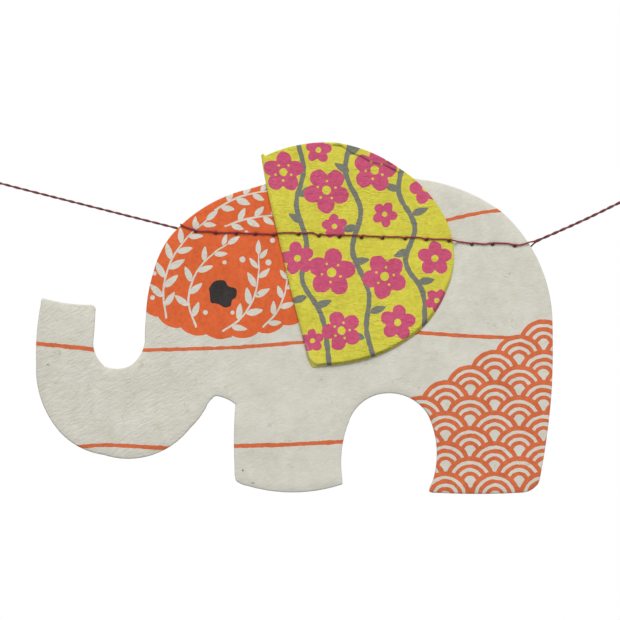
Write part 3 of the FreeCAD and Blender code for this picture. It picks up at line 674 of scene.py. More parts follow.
# ------------------------------------------------------------------ a cut sheet of paper
class Sheet:
    """A die-cut sheet with real thickness: a printed front whose faces are cut along the edges of the
    print, a plain back, a wall between them that is rolled over at the front, and needle holes."""

    def __init__(self, table, holes, prints, step=0.34, grid=0.62, edge_rings=(0.035, 0.09, 0.17, 0.27, 0.42),
                 creases=()):
        self.outline = outline_points(table, step)
        fine = outline_points(table, 0.05)
        along = np.roll(fine, -2, axis=0) - np.roll(fine, 2, axis=0)
        along /= np.linalg.norm(along, axis=1)[:, None]
        self.fine_down = along[:, 0]  # of the outward normal, how much of it points down the sheet
        self.fine_tree = KDTree(len(fine))
        for i, (x, z) in enumerate(fine):
            self.fine_tree.insert((x, z, 0), i)
        self.fine_tree.balance()
        self.holes = holes
        self.rim = 0.31  # radius of a needle hole's mouth
        points, edges = [], []

        def chain(shape):
            first = len(points)
            points.extend(map(tuple, shape))
            edges.extend((first + i, first + (i + 1) % len(shape)) for i in range(len(shape)))

        chain(self.outline)
        for hole in holes:
            chain(disc(hole, self.rim)[: 16] if False else np.array(
                [hole + self.rim * np.array((math.cos(a), math.sin(a)))
                 for a in np.linspace(0, 2 * math.pi, 16, endpoint=False)]))
        for shape, _ in prints:
            kept = self.touching(shape)
            if kept:
                chain(shape)
        fixed = KDTree(len(points))
        for i, (x, z) in enumerate(points):
            fixed.insert((x, z, 0), i)
        fixed.balance()
        extra = []
        # rings just inside the outline carry the rolled edge
        ahead, behind = np.roll(self.outline, -1, axis=0), np.roll(self.outline, 1, axis=0)
        direction = ahead - behind
        direction /= np.linalg.norm(direction, axis=1)[:, None]
        inward = np.stack([-direction[:, 1], direction[:, 0]], axis=1)
        for ring in edge_rings:
            for place in self.outline + inward * ring:
                if self.depth(place) > 0.8 * ring and fixed.find((*place, 0))[2] > 0.6 * ring:
                    extra.append(place)
        for hole in holes:
            for ring in (0.06, 0.16, 0.34, 0.56):
                turn = rng.random() * 6.28
                for a in np.linspace(0, 2 * math.pi, 16, endpoint=False):
                    extra.append(hole + (self.rim + ring) * np.array((math.cos(a + turn), math.sin(a + turn))))
        low, high = self.outline.min(0), self.outline.max(0)
        rows = np.arange(low[1], high[1], grid * 0.866)
        for k, z in enumerate(rows):
            xs = np.arange(low[0] + (k % 2) * grid / 2, high[0], grid)
            for x in xs:
                extra.append(np.array((x, z)) + rng.uniform(-0.16, 0.16, 2) * grid)
        extra = np.array(extra)
        extra = extra[inside(extra, self.outline)]
        kept = []
        for i, place in enumerate(extra):
            if fixed.find((*place, 0))[2] < 0.05:
                continue
            kept.append(place)
        # away from the outline and the holes, points keep clear of the print's edges
        body = []
        ring_tree = KDTree(len(kept))
        for i, place in enumerate(kept):
            ring_tree.insert((*place, 0), i)
        ring_tree.balance()
        for i, place in enumerate(kept):
            if self.depth(place) > 0.5 and not any(np.hypot(*(place - h)) < 0.95 for h in holes):
                if fixed.find((*place, 0))[2] < 0.24:
                    continue
            body.append(place)
        # a crease has points of its own, along it and just beside it, and the grid stands clear of them
        lines = []
        for crease in creases:
            line = resample(crease, 0.13, closed=False)
            heading = np.gradient(line, axis=0)
            heading /= np.linalg.norm(heading, axis=1)[:, None]
            left = np.stack([-heading[:, 1], heading[:, 0]], axis=1)
            for aside in (0.0, -0.08, 0.08, -0.17, 0.17, -0.30, 0.30):
                lines += [q for q in line + left * aside if fixed.find((*q, 0))[2] > 0.05]
        if lines:
            lines = np.array(lines)
            lines = lines[inside(lines, self.outline)]
            near = KDTree(len(lines))
            for i, place in enumerate(lines):
                near.insert((*place, 0), i)
            near.balance()
            body = [q for q in body if near.find((*q, 0))[2] > 0.12] + list(lines)
        points += [tuple(p) for p in body]
        out = delaunay_2d_cdt([Vector(p) for p in points], edges, [], 0, 1e-6)
        self.points = np.array([v[:] for v in out[0]], float)
        faces = np.array([f for f in out[2] if len(f) == 3], int)
        centre = self.points[faces].mean(axis=1)
        use = inside(centre, self.outline)
        for hole in holes:
            ring = np.array([hole + self.rim * np.array((math.cos(a), math.sin(a)))
                             for a in np.linspace(0, 2 * math.pi, 16, endpoint=False)])
            use &= ~inside(centre, ring)
        faces, centre = faces[use], centre[use]
        a, b, c = (self.points[faces[:, k]] for k in range(3))
        area = (b[:, 0] - a[:, 0]) * (c[:, 1] - a[:, 1]) - (b[:, 1] - a[:, 1]) * (c[:, 0] - a[:, 0])
        keep = np.abs(area) > 1e-9
        faces, centre, area = faces[keep], centre[keep], area[keep]
        faces[area < 0] = faces[area < 0][:, ::-1]
        self.faces = faces
        self.slots = np.zeros(len(faces), int)
        for shape, slot in prints:
            self.slots[inside(centre, shape)] = slot
        used, inverse = np.unique(faces, return_inverse=True)
        self.points = self.points[used]
        self.faces = inverse.reshape(-1, 3)
        self.from_edge = np.array([self.depth(p) for p in self.points])
        self.down = np.array([self.fine_down[self.fine_tree.find((p[0], p[1], 0))[1]] for p in self.points])
        self.from_hole = np.full(len(self.points), 9.0)
        for hole in holes:
            self.from_hole = np.minimum(self.from_hole, np.linalg.norm(self.points - hole, axis=1) - self.rim)

    def touching(self, shape):
        return inside(shape, self.outline).any()

    def depth(self, place):
        return self.fine_tree.find((place[0], place[1], 0))[2]

    def build(self, name, front_y, back_y, materials, slot_name, wall_slot, back_slot, node,
              roll, roll_low, curl, roll_back=0.09, pucker=0.10, crease=None, rim_shade_reach=0.20, rim_shade_side=0.05,
              rim_shade_at=0.0, fold_low=0.0, spare=None, ridge_highlight=None):
        """front_y and back_y give the two faces before their edges are rolled. roll is the width and
        the depth of the tight rounding at the cut, roll_low the same for edges that face down, and curl
        the slope and half the reach of the soft bend inside it."""
        count = len(self.points)
        x, z = self.points[:, 0], self.points[:, 1]
        d = self.from_edge
        hole = np.clip(self.from_hole, 0, None)

        def rolled(width, depth):
            inner = np.clip(1 - d / width, 0, 1)
            return depth * (1 - np.sqrt(np.maximum(1 - inner ** 2, 0)))

        # below, where the die presses hardest, the edge is rolled over further
        t = soft(self.down, 0.0, 0.6)
        wide, deep = (roll[k] + (roll_low[k] - roll[k]) * t for k in (0, 1))
        bent = np.where(d < curl[1], curl[1] * 0.5 + (curl[1] - d), np.clip(2 * curl[1] - d, 0, None) ** 2 / (2 * curl[1]))
        spared = spare(x, z) if spare else np.zeros(count)
        # fold_low: an edge that faces down is bent over in an easy curve, steepest halfway
        over = 1 - soft(d / np.maximum(wide, 1e-6), 0.0, 1.0)
        bend = rolled(wide, deep) * (1 - fold_low * t) + deep * over * fold_low * t
        front = (front_y(x, z) + bend + curl[0] * bent
                 + pucker * np.exp(-(hole / 0.42) ** 1.3))
        front = np.minimum(front, back_y(x, z) - 0.06)
        back = back_y(x, z) - rolled(roll_back, roll_back) + 0.07 * np.exp(-(hole / 0.28) ** 1.4)
        back = np.maximum(back, front + 0.05)
        verts = [np.stack([x, front, z], axis=1), np.stack([x, back, z], axis=1)]
        faces = [tuple(f) for f in self.faces.tolist()]
        faces += [(c + count, b + count, a + count) for a, b, c in self.faces.tolist()]
        slots = self.slots.tolist() + [back_slot] * len(self.faces)
        # painted shade along the cut edge: strongest where the edge faces down, away from the light above, and centred
        # a set distance inside it; the back gets a fainter band
        side = rim_shade_side + (1 - rim_shade_side) * np.clip(self.down, 0, 1)
        rim_shade_band = np.exp(-(np.abs(d - rim_shade_at) / rim_shade_reach) ** 1.5) * side * (1 - spared)
        rim = [rim_shade_band, np.exp(-d / 0.5) * 0.4]
        # painted highlight along the corner's bent ridge
        ridge_highlights = [ridge_highlight(x, z) if ridge_highlight else np.zeros(count), np.zeros(count)]
        # painted shade along the crease
        crease_shades = [crease(x, z) if crease else np.zeros(count), np.zeros(count)]
        # painted shade in each needle hole's mouth, fainter on the back
        hole_shade_and_dye = [np.exp(-(hole / 0.12) ** 1.2), np.exp(-(hole / 0.2) ** 1.2)]
        # walls follow the edges that only one face has
        seen = {}
        for a, b, c in self.faces.tolist():
            for p, q in ((a, b), (b, c), (c, a)):
                seen[(p, q)] = seen.get((p, q), 0) + 1
        border = [(p, q) for p, q in seen if (q, p) not in seen]
        ring = sorted({p for e in border for p in e})
        index = {p: i for i, p in enumerate(ring)}
        levels = (0.30, 0.62)
        base = 2 * count
        at_hole = {}
        for p in ring:
            for h in self.holes:
                if abs(math.hypot(*(self.points[p] - h)) - self.rim) < 0.02:
                    at_hole[p] = h
        for level in levels:
            made = []
            for p in ring:
                spot = self.points[p]
                y = front[p] * (1 - level) + back[p] * level
                if p in at_hole:
                    h = at_hole[p]
                    spot = h + (spot - h) * (0.62 if level < 0.5 else 0.42)
                else:
                    a = noise.noise_vector(Vector((spot[0] * 1.9, spot[1] * 1.9, level * 5)))
                    spot = spot + np.array((a.x, a.y)) * 0.035
                made.append((spot[0], y, spot[1]))
            verts.append(np.array(made))
            # the walls carry the same painted edge shade
            rim.append((side * (1 - spared))[ring] * (1.0 if rim_shade_at == 0 else 0.6))
            crease_shades.append(np.zeros(len(ring)))
            ridge_highlights.append(np.zeros(len(ring)))
            # the hole's wall is painted dark all round
            hole_shade_and_dye.append(np.array([1.0 if p in at_hole else 0.0 for p in ring]))
        size = len(ring)
        for p, q in border:
            i, j = index[p], index[q]
            column = [(p, q), (base + i, base + j), (base + size + i, base + size + j), (p + count, q + count)]
            for (a, b), (c, e) in zip(column[:-1], column[1:]):
                faces.append((b, a, c, e))
                slots.append(wall_slot)
        mesh = bpy.data.meshes.new(name)
        mesh.from_pydata((np.vstack(verts) * MM).tolist(), [], faces)
        for material in materials:
            mesh.materials.append(material)
        mesh.polygons.foreach_set("material_index", np.array(slots, np.int32))
        mesh.polygons.foreach_set("use_smooth", np.ones(len(mesh.polygons), bool))
        for key, data in (("rim", rim), ("hole", hole_shade_and_dye), ("crease", crease_shades), ("ridge_highlight", ridge_highlights)):
            attribute = mesh.attributes.new(key, "FLOAT", "POINT")
            attribute.data.foreach_set("value", np.concatenate(data).astype(np.float32))
        mesh.update()
        thing = bpy.data.objects.new(name, mesh)
        scene.collection.objects.link(thing)
        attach(thing, "root")
        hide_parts(node)
        print(name, "triangles", sum(len(f) - 2 for f in faces), "front", len(self.faces))
        return thing


# ------------------------------------------------------------------ the body's print
PAPER, INK, EYE, CORE, BACK, THIN = 0, 1, 2, 3, 4, 5
body_print = []


def stamp(shape, slot, amount=0.075, seed=0.0, step=0.30):
    body_print.append((hand_cut(shape, amount, seed, step), slot))


# plain lines across the sheet
for k, (line, width) in enumerate([
    (px((30, 342.2), (37, 343), (62, 345.6), (94, 349), (104, 350)), 0.80),
    (px((134, 349.2), (143.5, 349.5), (190, 348.4), (240, 346.6), (304, 341.5), (330, 339)), 0.70),
    (px((380, 330), (416, 332), (465, 335.4), (514.8, 337.6), (535, 339.5)), 0.76),
    (px((430, 223.5), (445.5, 220), (471, 214), (491, 210.8), (510, 209)), 0.70),
    (px((66, 448), (80, 446.3), (104, 444.4), (132, 445.6), (168.7, 447.7), (182, 448.6)), 0.80),
    (px((225, 446), (234.8, 445.4), (273, 444.5), (310, 442.8), (342.6, 441.2), (354, 440.6)), 0.78),
]):
    stamp(ribbon(smooth_line(line, 120), width, k * 1.7, 0.22), THIN, 0.07, 20 + k)

# the head: a printed field with a scalloped lower edge and pale leaf sprays
foot = px((139, 300), (158, 316), (181, 327), (206, 333.5), (232, 335), (258, 331.5), (283, 324), (309, 313))
lower = []
for a, b in zip(foot[:-1], foot[1:]):
    t = np.linspace(0, 1, 12, endpoint=False)
    down = np.array((b[1] - a[1], -(b[0] - a[0])))
    down /= np.linalg.norm(down)
    lower += list(a + np.outer(t, b - a) + np.outer(np.sin(math.pi * t) ** 0.7 * 0.85, down))
head = np.vstack([np.array(lower), px((309, 313), (312, 240), (300, 172), (250, 168), (180, 178), (138, 210), (128, 262))])
stamp(head, INK, 0.06, 1)


def spray(line, leaves, length, width, seed, spread=0.72, tip=True, first=0.10):
    """A stem with leaves to both sides, left bare in the printed field."""
    path = smooth_line(line, 80)
    along = np.concatenate([[0], np.cumsum(np.linalg.norm(np.diff(path, axis=0), axis=1))])
    stamp(ribbon(path, 0.36, seed, 0.25, (1.1, 0.7)), PAPER, 0.05, seed)
    for k in range(leaves):
        t = first + (0.93 - first) * k / max(leaves - 1, 1)
        spot = np.array([np.interp(t * along[-1], along, path[:, i]) for i in range(2)])
        next_ = np.array([np.interp(min(t + 0.03, 1) * along[-1], along, path[:, i]) for i in range(2)])
        before = np.array([np.interp(max(t - 0.03, 0) * along[-1], along, path[:, i]) for i in range(2)])
        heading = math.atan2(*(next_ - before)[::-1])
        side = 1 if k % 2 else -1
        grow = 0.82 + 0.28 * math.sin(math.pi * min(t + 0.15, 1)) + 0.10 * noise.noise(Vector((k * 1.3, seed, 0)))
        angle = heading + side * (spread + 0.10 * noise.noise(Vector((k * 2.1, seed, 4))))
        start = spot + 0.30 * np.array((math.cos(angle), math.sin(angle)))
        stamp(leaf(start, length * grow * 0.97, width * grow * 0.93, angle), PAPER, 0.055, seed + k * 0.31, 0.26)
    if tip:
        heading = math.atan2(*(path[-1] - path[-4])[::-1])
        stamp(leaf(path[-1] - 0.2 * np.array((math.cos(heading), math.sin(heading))), length * 0.9, width * 0.85, heading),
              PAPER, 0.055, seed + 9, 0.26)


spray(px((166, 318), (163, 290), (170, 262), (186, 238), (207, 219)), 11, 3.3, 1.32, 31)
spray(px((196, 327), (188, 300), (196, 272), (213, 253), (228, 243)), 8, 3.1, 1.25, 33)
spray(px((222, 331), (240, 318), (253, 298), (258, 274), (258, 253)), 9, 3.2, 1.28, 35)
spray(px((262, 327), (276, 312), (284, 294), (287, 276)), 6, 2.7, 1.12, 37)
spray(px((214, 210), (233, 199), (252, 193), (272, 190)), 7, 2.7, 1.25, 39)
spray(px((224, 226), (244, 219), (262, 216), (282, 214)), 7, 2.6, 1.20, 41)
for k, (cx, cz) in enumerate(px((154, 273), (178, 219), (242, 259), (232, 312), (205, 312), (268, 262), (224, 262),
                                (272, 240), (196, 224), (246, 232), (152, 297), (274, 202))):
    stamp(disc((cx, cz), 0.42 + 0.08 * (k % 3)), PAPER, 0.05, 50 + k, 0.22)
# the eye: a dark, rough-edged spot
eye = px((208.5, 288), (213, 281.5), (219.5, 279.5), (224.5, 280.5), (228, 285.5), (235.5, 288.5), (236, 296),
         (231.5, 300), (230, 305.5), (224, 307), (218, 303.5), (210.5, 302), (209.5, 296))
stamp(resample(smooth_line(np.vstack([eye, eye[:1]]), 130), 0.3), EYE, 0.05, 60)

# the rump: rows of printed waves
top_line = px((400, 424), (428, 404), (452, 389), (488, 367), (514, 352), (560, 334))
wave_r, row_step = 4.9, 2.95
rows = []
z = px((0, 344))[0][1]
row = 0
while z > px((0, 506))[0][1]:
    for k in range(-1, 4):
        cx = px((543, 0))[0][0] - k * wave_r * 1.94 - (row % 2) * wave_r * 0.97
        limit = np.interp(cx, top_line[:, 0], top_line[:, 1])
        if z < limit + 0.2 and cx > px((392, 0))[0][0]:
            rows.append((cx, z, row, k))
    z -= row_step
    row += 1
for cx, cz, row, k in rows:
    centre = np.array((cx + 0.12 * noise.noise(Vector((row * 1.1, k * 2.3, 0))), cz))
    for ring, slot in ((0.0, THIN), (0.90, PAPER), (1.52, THIN), (2.32, PAPER), (2.96, THIN), (3.72, PAPER)):
        stamp(disc(centre, wave_r - ring), slot, 0.085, 70 + row * 3 + k + ring, 0.30)

CREAM_L, CREAM_D = srgb(227, 225, 214), srgb(204, 200, 187)
# rim: how strong the painted shade along the cut edges is
body_materials = [
    paper_material("paper_cream", CREAM_L, CREAM_D, slant=1.0),
    paper_material("ink_orange", CREAM_L, CREAM_D, srgb(232, 108, 58), srgb(221, 100, 52), rim=0.12, fleck=0.5,
                   rough=0.84, bump=0.8),
    paper_material("ink_charcoal", CREAM_L, CREAM_D, srgb(62, 57, 56), srgb(50, 46, 46), rim=0.1, fleck=0.2,
                   rough=0.84, bump=0.9, show=0.05),
    paper_material("paper_core", srgb(216, 212, 196), srgb(190, 185, 166), rim=0.10, fleck=0.6, bump=1.3),
    paper_material("paper_back", srgb(223, 221, 208), srgb(200, 196, 180), rim=0.14, slant=0.8),
    paper_material("ink_orange_thin", CREAM_L, CREAM_D, srgb(224, 115, 71), srgb(212, 106, 64), rim=0.12, fleck=0.5,
                   rough=0.84, bump=0.8, show=0.12),
]


# ------------------------------------------------------------------ shapes of the two faces
def seam_distance(x, z):
    (x0, z0), (x1, z1) = hole_xz[0], hole_xz[-1]
    return np.abs(z - (z0 + (z1 - z0) * (x - x0) / (x1 - x0)))


def each(function, x, z):
    return np.array([function(a, b) for a, b in zip(x.tolist(), z.tolist())])


def sheet_wave(x, z):
    """The gentle wave of a handmade sheet: nothing along the seam, more towards its ends."""
    free = soft(seam_distance(x, z), 5.0, 26.0)
    wave = each(lambda a, b: noise.noise(Vector((a * 0.035, b * 0.045, 2.0))), x, z) * 0.42
    wave += each(lambda a, b: noise.noise(Vector((a * 0.11, b * 0.13, 5.0))), x, z) * 0.10
    trunk = soft(30.0 + DATUM[0] - 14.0 - x, 0.0, 26.0)
    return free * (wave - 0.45 * trunk ** 1.5)


def tooth(x, z, seed):
    """Small relief of the pulp."""
    return each(lambda a, b: 0.016 * noise.noise(Vector((a * 0.55, b * 0.75, seed)))
                + 0.010 * noise.noise(Vector((a * 1.2, b * 1.8, seed + 3))), x, z)


body_sheet = Sheet(BODY, list(hole_xz), body_print)
body = body_sheet.build(
    "elephant_paper",
    lambda x, z: -HALF + sheet_wave(x, z) + tooth(x, z, 1.0),
    lambda x, z: HALF + sheet_wave(x, z) - tooth(x, z, 8.0),
    body_materials, "body_paper", CORE, BACK, "elephant_body", roll=(0.20, 0.12), roll_low=(0.32, 0.20),
    curl=(0.14, 0.80))

# ------------------------------------------------------------------ the ear
CREASE = ((58.98, 69.25), (71.78, 63.44))
TIP = ((53.3, 29.4), (57.2, 26.0))
# the crease: each line's points, its half width, and how deep it is along it, which also sets how dark its painted
# shade is
CREASE_LINES = [
    (px((327, 144.9), (334, 145.5), (340, 146.0), (345, 148.6), (349, 151.7), (352.5, 153.9), (360.6, 156.7),
        (369, 161.6), (376.5, 163.8), (383.4, 164.8), (389.5, 168.0), (395, 170.8), (400, 173.6)), 0.15,
     (0.0, 0.75, 0.95, 0.45, 0.50, 0.85, 0.95, 0.85, 0.60, 0.70, 1.0, 0.95, 0.0)),
    (px((383.0, 160.4), (388.0, 162.6), (393.0, 165.4)), 0.22, (0.0, 0.55, 0.0)),
    (px((333.0, 143.8), (338.0, 144.0), (344.0, 145.6)), 0.20, (0.0, 0.60, 0.0)),
]
# the lower corner is bent back along this line, and a highlight is painted along it
CORNER = px((304.9, 339), (306.5, 344.8), (308.6, 351.2), (310.3, 357.0), (313.6, 360.6), (318.4, 362.0), (323.5, 362.5))


def past_line(x, z, line, sign):
    (ax, az), (bx, bz) = (np.array(p) + DATUM for p in line)
    run = math.hypot(bx - ax, bz - az)
    return sign * (-(bz - az) * (x - ax) + (bx - ax) * (z - az)) / run


def ear_back(x, z):
    """Y of the ear's back: flat on the body along the seam, standing off below and above it,
    creased near the top and bent back at the lower tip."""
    (x0, z0), (x1, z1) = hole_xz[EAR_FIRST], hole_xz[EAR_LAST]
    away = z - (z0 + (z1 - z0) * (x - x0) / (x1 - x0))
    off = np.where(away > 0, 0.3 * (np.abs(away) / 18.4) ** 1.8, 0.3 * (np.abs(away) / 25.0) ** 1.8)
    off = off + 0.10 * 0.3 * np.log1p(np.exp(np.minimum(past_line(x, z, CREASE, 1) / 0.3, 40.0)))
    tip = np.clip(past_line(x, z, TIP, -1), 0, None)
    off = off - 0.09 * tip ** 2
    return -HALF - EAR_GAP - np.maximum(off, 0.0)


def beside(x, z, line, reach):
    """For each point the distance to a line and how far along it the nearest place is, 0 to 1."""
    fine = resample(line, 0.05, closed=False)
    tree = KDTree(len(fine))
    for i, p in enumerate(fine):
        tree.insert((p[0], p[1], 0), i)
    tree.balance()
    far, t = np.full(len(x), 9.0), np.zeros(len(x))
    low, high = fine.min(0) - reach, fine.max(0) + reach
    for k in np.where((x > low[0]) & (x < high[0]) & (z > low[1]) & (z < high[1]))[0]:
        _, i, distance = tree.find((x[k], z[k], 0))
        far[k], t[k] = distance, i / (len(fine) - 1)
    return far, t


def crease_dent_and_shade(x, z):
    """1 along the crease, where the dent is pressed in and its valley shade is painted, with its broken fibres, less
    where it is shallow.
    """
    out = np.zeros(len(x))
    for line, wide, deep in CREASE_LINES:
        far, t = beside(x, z, line, 1.0)
        gap = np.concatenate([[0], np.cumsum(np.linalg.norm(np.diff(line, axis=0), axis=1))])
        out = np.maximum(out, np.exp(-(far / (1.15 * wide)) ** 2) * np.interp(t, gap / gap[-1], deep))
    return out


def corner_highlight(x, z):
    """Painted highlight on the ridge along which the lower corner is bent back."""
    far, t = beside(x, z, CORNER, 1.0)
    return np.exp(-(far / 0.17) ** 2) * np.clip(np.minimum(t * 4, (1 - t) * 6), 0, 1) ** 0.7


def corner_near(x, z):
    """1 at the lower corner, fading out along the edges that leave it."""
    cx, cz = px((311.5, 363.5))[0]
    return np.clip(np.exp(-((x - cx) / 1.35) ** 2 - ((z - cz) / 1.6) ** 2) * 1.3, 0, 1)


def corner_bend(x, z):
    """How far the paper beyond the ridge is bent back."""
    far, t = beside(x, z, CORNER, 2.0)
    fine = resample(CORNER, 0.05, closed=False)
    cx, cz = px((330, 335))[0]
    # beyond the ridge means further from the middle of the ear than the ridge's nearest place
    i = np.clip((t * (len(fine) - 1)).astype(int), 0, len(fine) - 1)
    beyond = np.hypot(x - cx, z - cz) > np.hypot(fine[i, 0] - cx, fine[i, 1] - cz)
    return np.where(beyond & (far < 2.0), 0.26 * soft(far, 0.0, 0.75), 0.0) * corner_near(x, z)


def ear_wrinkles(x, z):
    """Shallow, mostly level creases, deeper away from the seam."""
    free = soft(np.abs(z - hole_xz[8][1]), 0.8, 4.5)

    def one(a, b):
        bend = 1.4 * noise.noise(Vector((a * 0.09, b * 0.09, 1.0)))
        v = noise.noise(Vector((a * 0.14, (b + bend) * 0.62, 4.0)))
        ridge = max(0.0, 1.0 - abs(v) / 0.16)
        w = noise.noise(Vector((a * 0.30, (b + bend) * 1.15, 9.0)))
        small = max(0.0, 1.0 - abs(w) / 0.2)
        return 0.034 * ridge ** 1.5 + 0.014 * small + 0.06 * noise.noise(Vector((a * 0.16, b * 0.2, 6.0)))

    return free * each(one, x, z)


ear_print = []


def ear_stamp(shape, slot, amount=0.085, seed=0.0, step=0.30):
    ear_print.append((hand_cut(shape, amount, seed, step), slot))


YELLOW, MAGENTA, GREY, EAR_CORE, EAR_BACK = 0, 1, 2, 3, 4
stems = [
    px((296, 138), (303, 170), (296, 205), (306, 242), (302, 280), (322, 318), (330, 376)),
    px((352, 134), (345, 172), (360, 210), (352, 250), (368, 292), (366, 330), (378, 372)),
    px((404, 158), (398, 192), (414, 226), (405, 262), (422, 292), (424, 330)),
]
for k, line in enumerate(stems):
    ear_stamp(ribbon(smooth_line(line, 160), 0.98, 5 + k, 0.2), GREY, 0.07, 80 + k)
for k, (x, y, turn) in enumerate([
    (303, 222, 150), (299, 196, 35), (306, 296, 200), (315, 306, 20), (357, 226, 195), (349, 172, 150),
    (352, 262, 10), (369, 312, 20), (364, 338, 160), (411, 214, 20), (409, 250, 200), (417, 282, 10), (399, 190, 160),
    (346, 154, 30),
]):
    ear_stamp(leaf(px((x, y))[0], 3.4, 1.5, math.radians(turn)), GREY, 0.06, 90 + k)
for k, (x, y, r, turn) in enumerate([
    (283, 172, 4.0, 0.3), (326, 190, 4.5, 0.9), (374, 170, 4.3, 0.1), (425, 188, 3.2, 0.6), (384, 214, 2.5, 1.1),
    (297, 258, 3.3, 0.5), (331, 272, 4.7, 0.2), (384, 276, 4.4, 0.8), (434, 258, 3.4, 0.3), (341, 330, 3.9, 0.7),
    (397, 322, 3.5, 0.2), (312, 340, 2.3, 0.4), (436, 300, 2.4, 1.0), (334, 226, 2.5, 0.4), (318, 150, 2.6, 0.2),
]):
    centre = px((x, y))[0]
    ear_stamp(blossom(centre, r, turn), MAGENTA, 0.11, 110 + k)
    ear_stamp(disc(centre, r * 0.17 + 0.12), YELLOW, 0.06, 130 + k, 0.24)
    if r > 3.8:
        for j in range(5):
            a = turn + 2 * math.pi * (j + 0.5) / 5
            spot = centre + r * 0.40 * np.array((math.cos(a), math.sin(a)))
            ear_stamp(disc(spot, 0.26), YELLOW, 0.04, 150 + k + j, 0.20)

YEL_L, YEL_D = srgb(228, 219, 82), srgb(208, 198, 66)
# dark olive painted along the ear's lower edges, the shade of its rolled-over rim
OLIVE_SHADE = srgb(84, 80, 34)
ear_materials = [
    paper_material("ear_yellow", YEL_L, YEL_D, srgb(226, 217, 80), srgb(212, 203, 70), rim=0.66, fleck=0.7,
                   rim_shade_colour=OLIVE_SHADE, ridge_highlight=srgb(232, 226, 128),
                   wrinkle=1.0, rough=0.86, bump=0.9, fibre=0.8),
    paper_material("ear_magenta", srgb(214, 120, 110), YEL_D, srgb(214, 92, 127), srgb(202, 82, 117), rim=0.66,
                   ridge_highlight=srgb(222, 130, 150), rim_shade_colour=srgb(92, 48, 56), fleck=0.4, wrinkle=1.0, rough=0.84, bump=0.9, fibre=0.6),
    paper_material("ear_grey", srgb(146, 144, 124), YEL_D, srgb(133, 133, 119), srgb(122, 123, 112), rim=0.66,
                   rim_shade_colour=srgb(66, 66, 50), fleck=0.3, wrinkle=1.0, rough=0.84, bump=0.9, fibre=0.6),
    paper_material("ear_core", srgb(196, 186, 84), srgb(160, 150, 62), rim=0.75, rim_shade_colour=OLIVE_SHADE, fleck=0.4, bump=1.3),
    paper_material("ear_back", srgb(224, 221, 204), srgb(202, 198, 178), rim=0.2, wrinkle=0.8),
]
ear_sheet = Sheet(EAR, list(hole_xz[EAR_FIRST:EAR_LAST + 1]), ear_print, step=0.30, grid=0.46,
                  edge_rings=(0.035, 0.10, 0.20, 0.32, 0.46, 0.62, 0.80), creases=[c[0] for c in CREASE_LINES] + [CORNER])
# the ear's painted edge shade sits a quarter millimetre inside the edge, where the rim rolls over, and is faint on
# edges that do not face down
ear = ear_sheet.build(
    "ear_paper",
    lambda x, z: (ear_back(x, z) + sheet_wave(x, z) - EAR_THICK + ear_wrinkles(x, z) + 0.6 * tooth(x, z, 12.0)
                  + 0.09 * crease_dent_and_shade(x, z) + corner_bend(x, z)),
    lambda x, z: ear_back(x, z) + sheet_wave(x, z) + 0.02,
    ear_materials, "ear_paper", EAR_CORE, EAR_BACK, "ear", roll=(0.10, 0.06), roll_low=(0.58, 0.38),
    curl=(0.06, 0.60), roll_back=0.05, pucker=0.10, crease=crease_dent_and_shade, rim_shade_reach=0.27, rim_shade_side=0.04, rim_shade_at=0.25,
    fold_low=1.0, spare=corner_near, ridge_highlight=corner_highlight)

# ------------------------------------------------------------------ the seam
SKIM = HALF + STRAND / 2 + 0.01


def at_hole(i, along, up, y):
    """A point beside hole i: a distance along the seam, one up the sheet, and its y."""
    before, after = hole_xz[max(i - 1, 0)], hole_xz[min(i + 1, len(hole_xz) - 1)]
    t = (after - before) / np.linalg.norm(after - before)
    n = np.array((-t[1], t[0]))
    spot = hole_xz[i] + t * along + n * up
    return (spot[0], y, spot[1])


def strand_start(run, sign):
    a, b = np.array(run[0]), np.array(run[1])
    out = (a - b) / np.linalg.norm(a - b)
    return a + across_of(out) * sign * OFFSET, out


def surface(i):
    return -(SKIM + (EAR_THICK + EAR_GAP if EAR_FIRST <= i <= EAR_LAST else 0.0))


# height of the thread over the line of holes: just before and just after each hole, and a third and
# two thirds of the way to the next one
BEFORE = (0.33, 0.16, 0.22, 0.12, 0.15, 0.10, 0.17, 0.28, 0.25, 0.19, 0.14, 0.08, 0.22, 0.19, 0.18, 0.18)
AFTER = (0.08, 0.10, 0.32, 0.22, 0.04, 0.24, 0.40, 0.44, 0.42, 0.32, 0.28, 0.22, 0.26, 0.26, 0.26, 0.16)
RISE = ((0.12, 0.27), (0.17, 0.28), (0.22, 0.18), (0.11, 0.17), (0.45, 0.46), (0.30, 0.42), (0.27, 0.49), (0.40, 0.48),
        (0.34, 0.36), (0.27, 0.36), (0.33, 0.35), (0.17, 0.26), (0.10, 0.20), (0.25, 0.25), (0.29, 0.30), (0.20, 0.20))
start, heading = strand_start(LEFT_RUN, +1)
needle = [start, start + heading * 0.3, start + heading * 0.46 + (0, -0.05, 0.14), (44.60, SKIM + 0.04, -10.66),
          (43.86, SKIM, -10.42), (43.50, SKIM, -10.12), (43.50, -SKIM, -10.12), (44.10, -SKIM, -10.46),
          (44.95, -SKIM, -10.80)]
start, heading = strand_start(LEFT_RUN, -1)
bobbin = [start, start + heading * 0.4, start + heading * 1.0 + (0, -0.10, 0.0)]
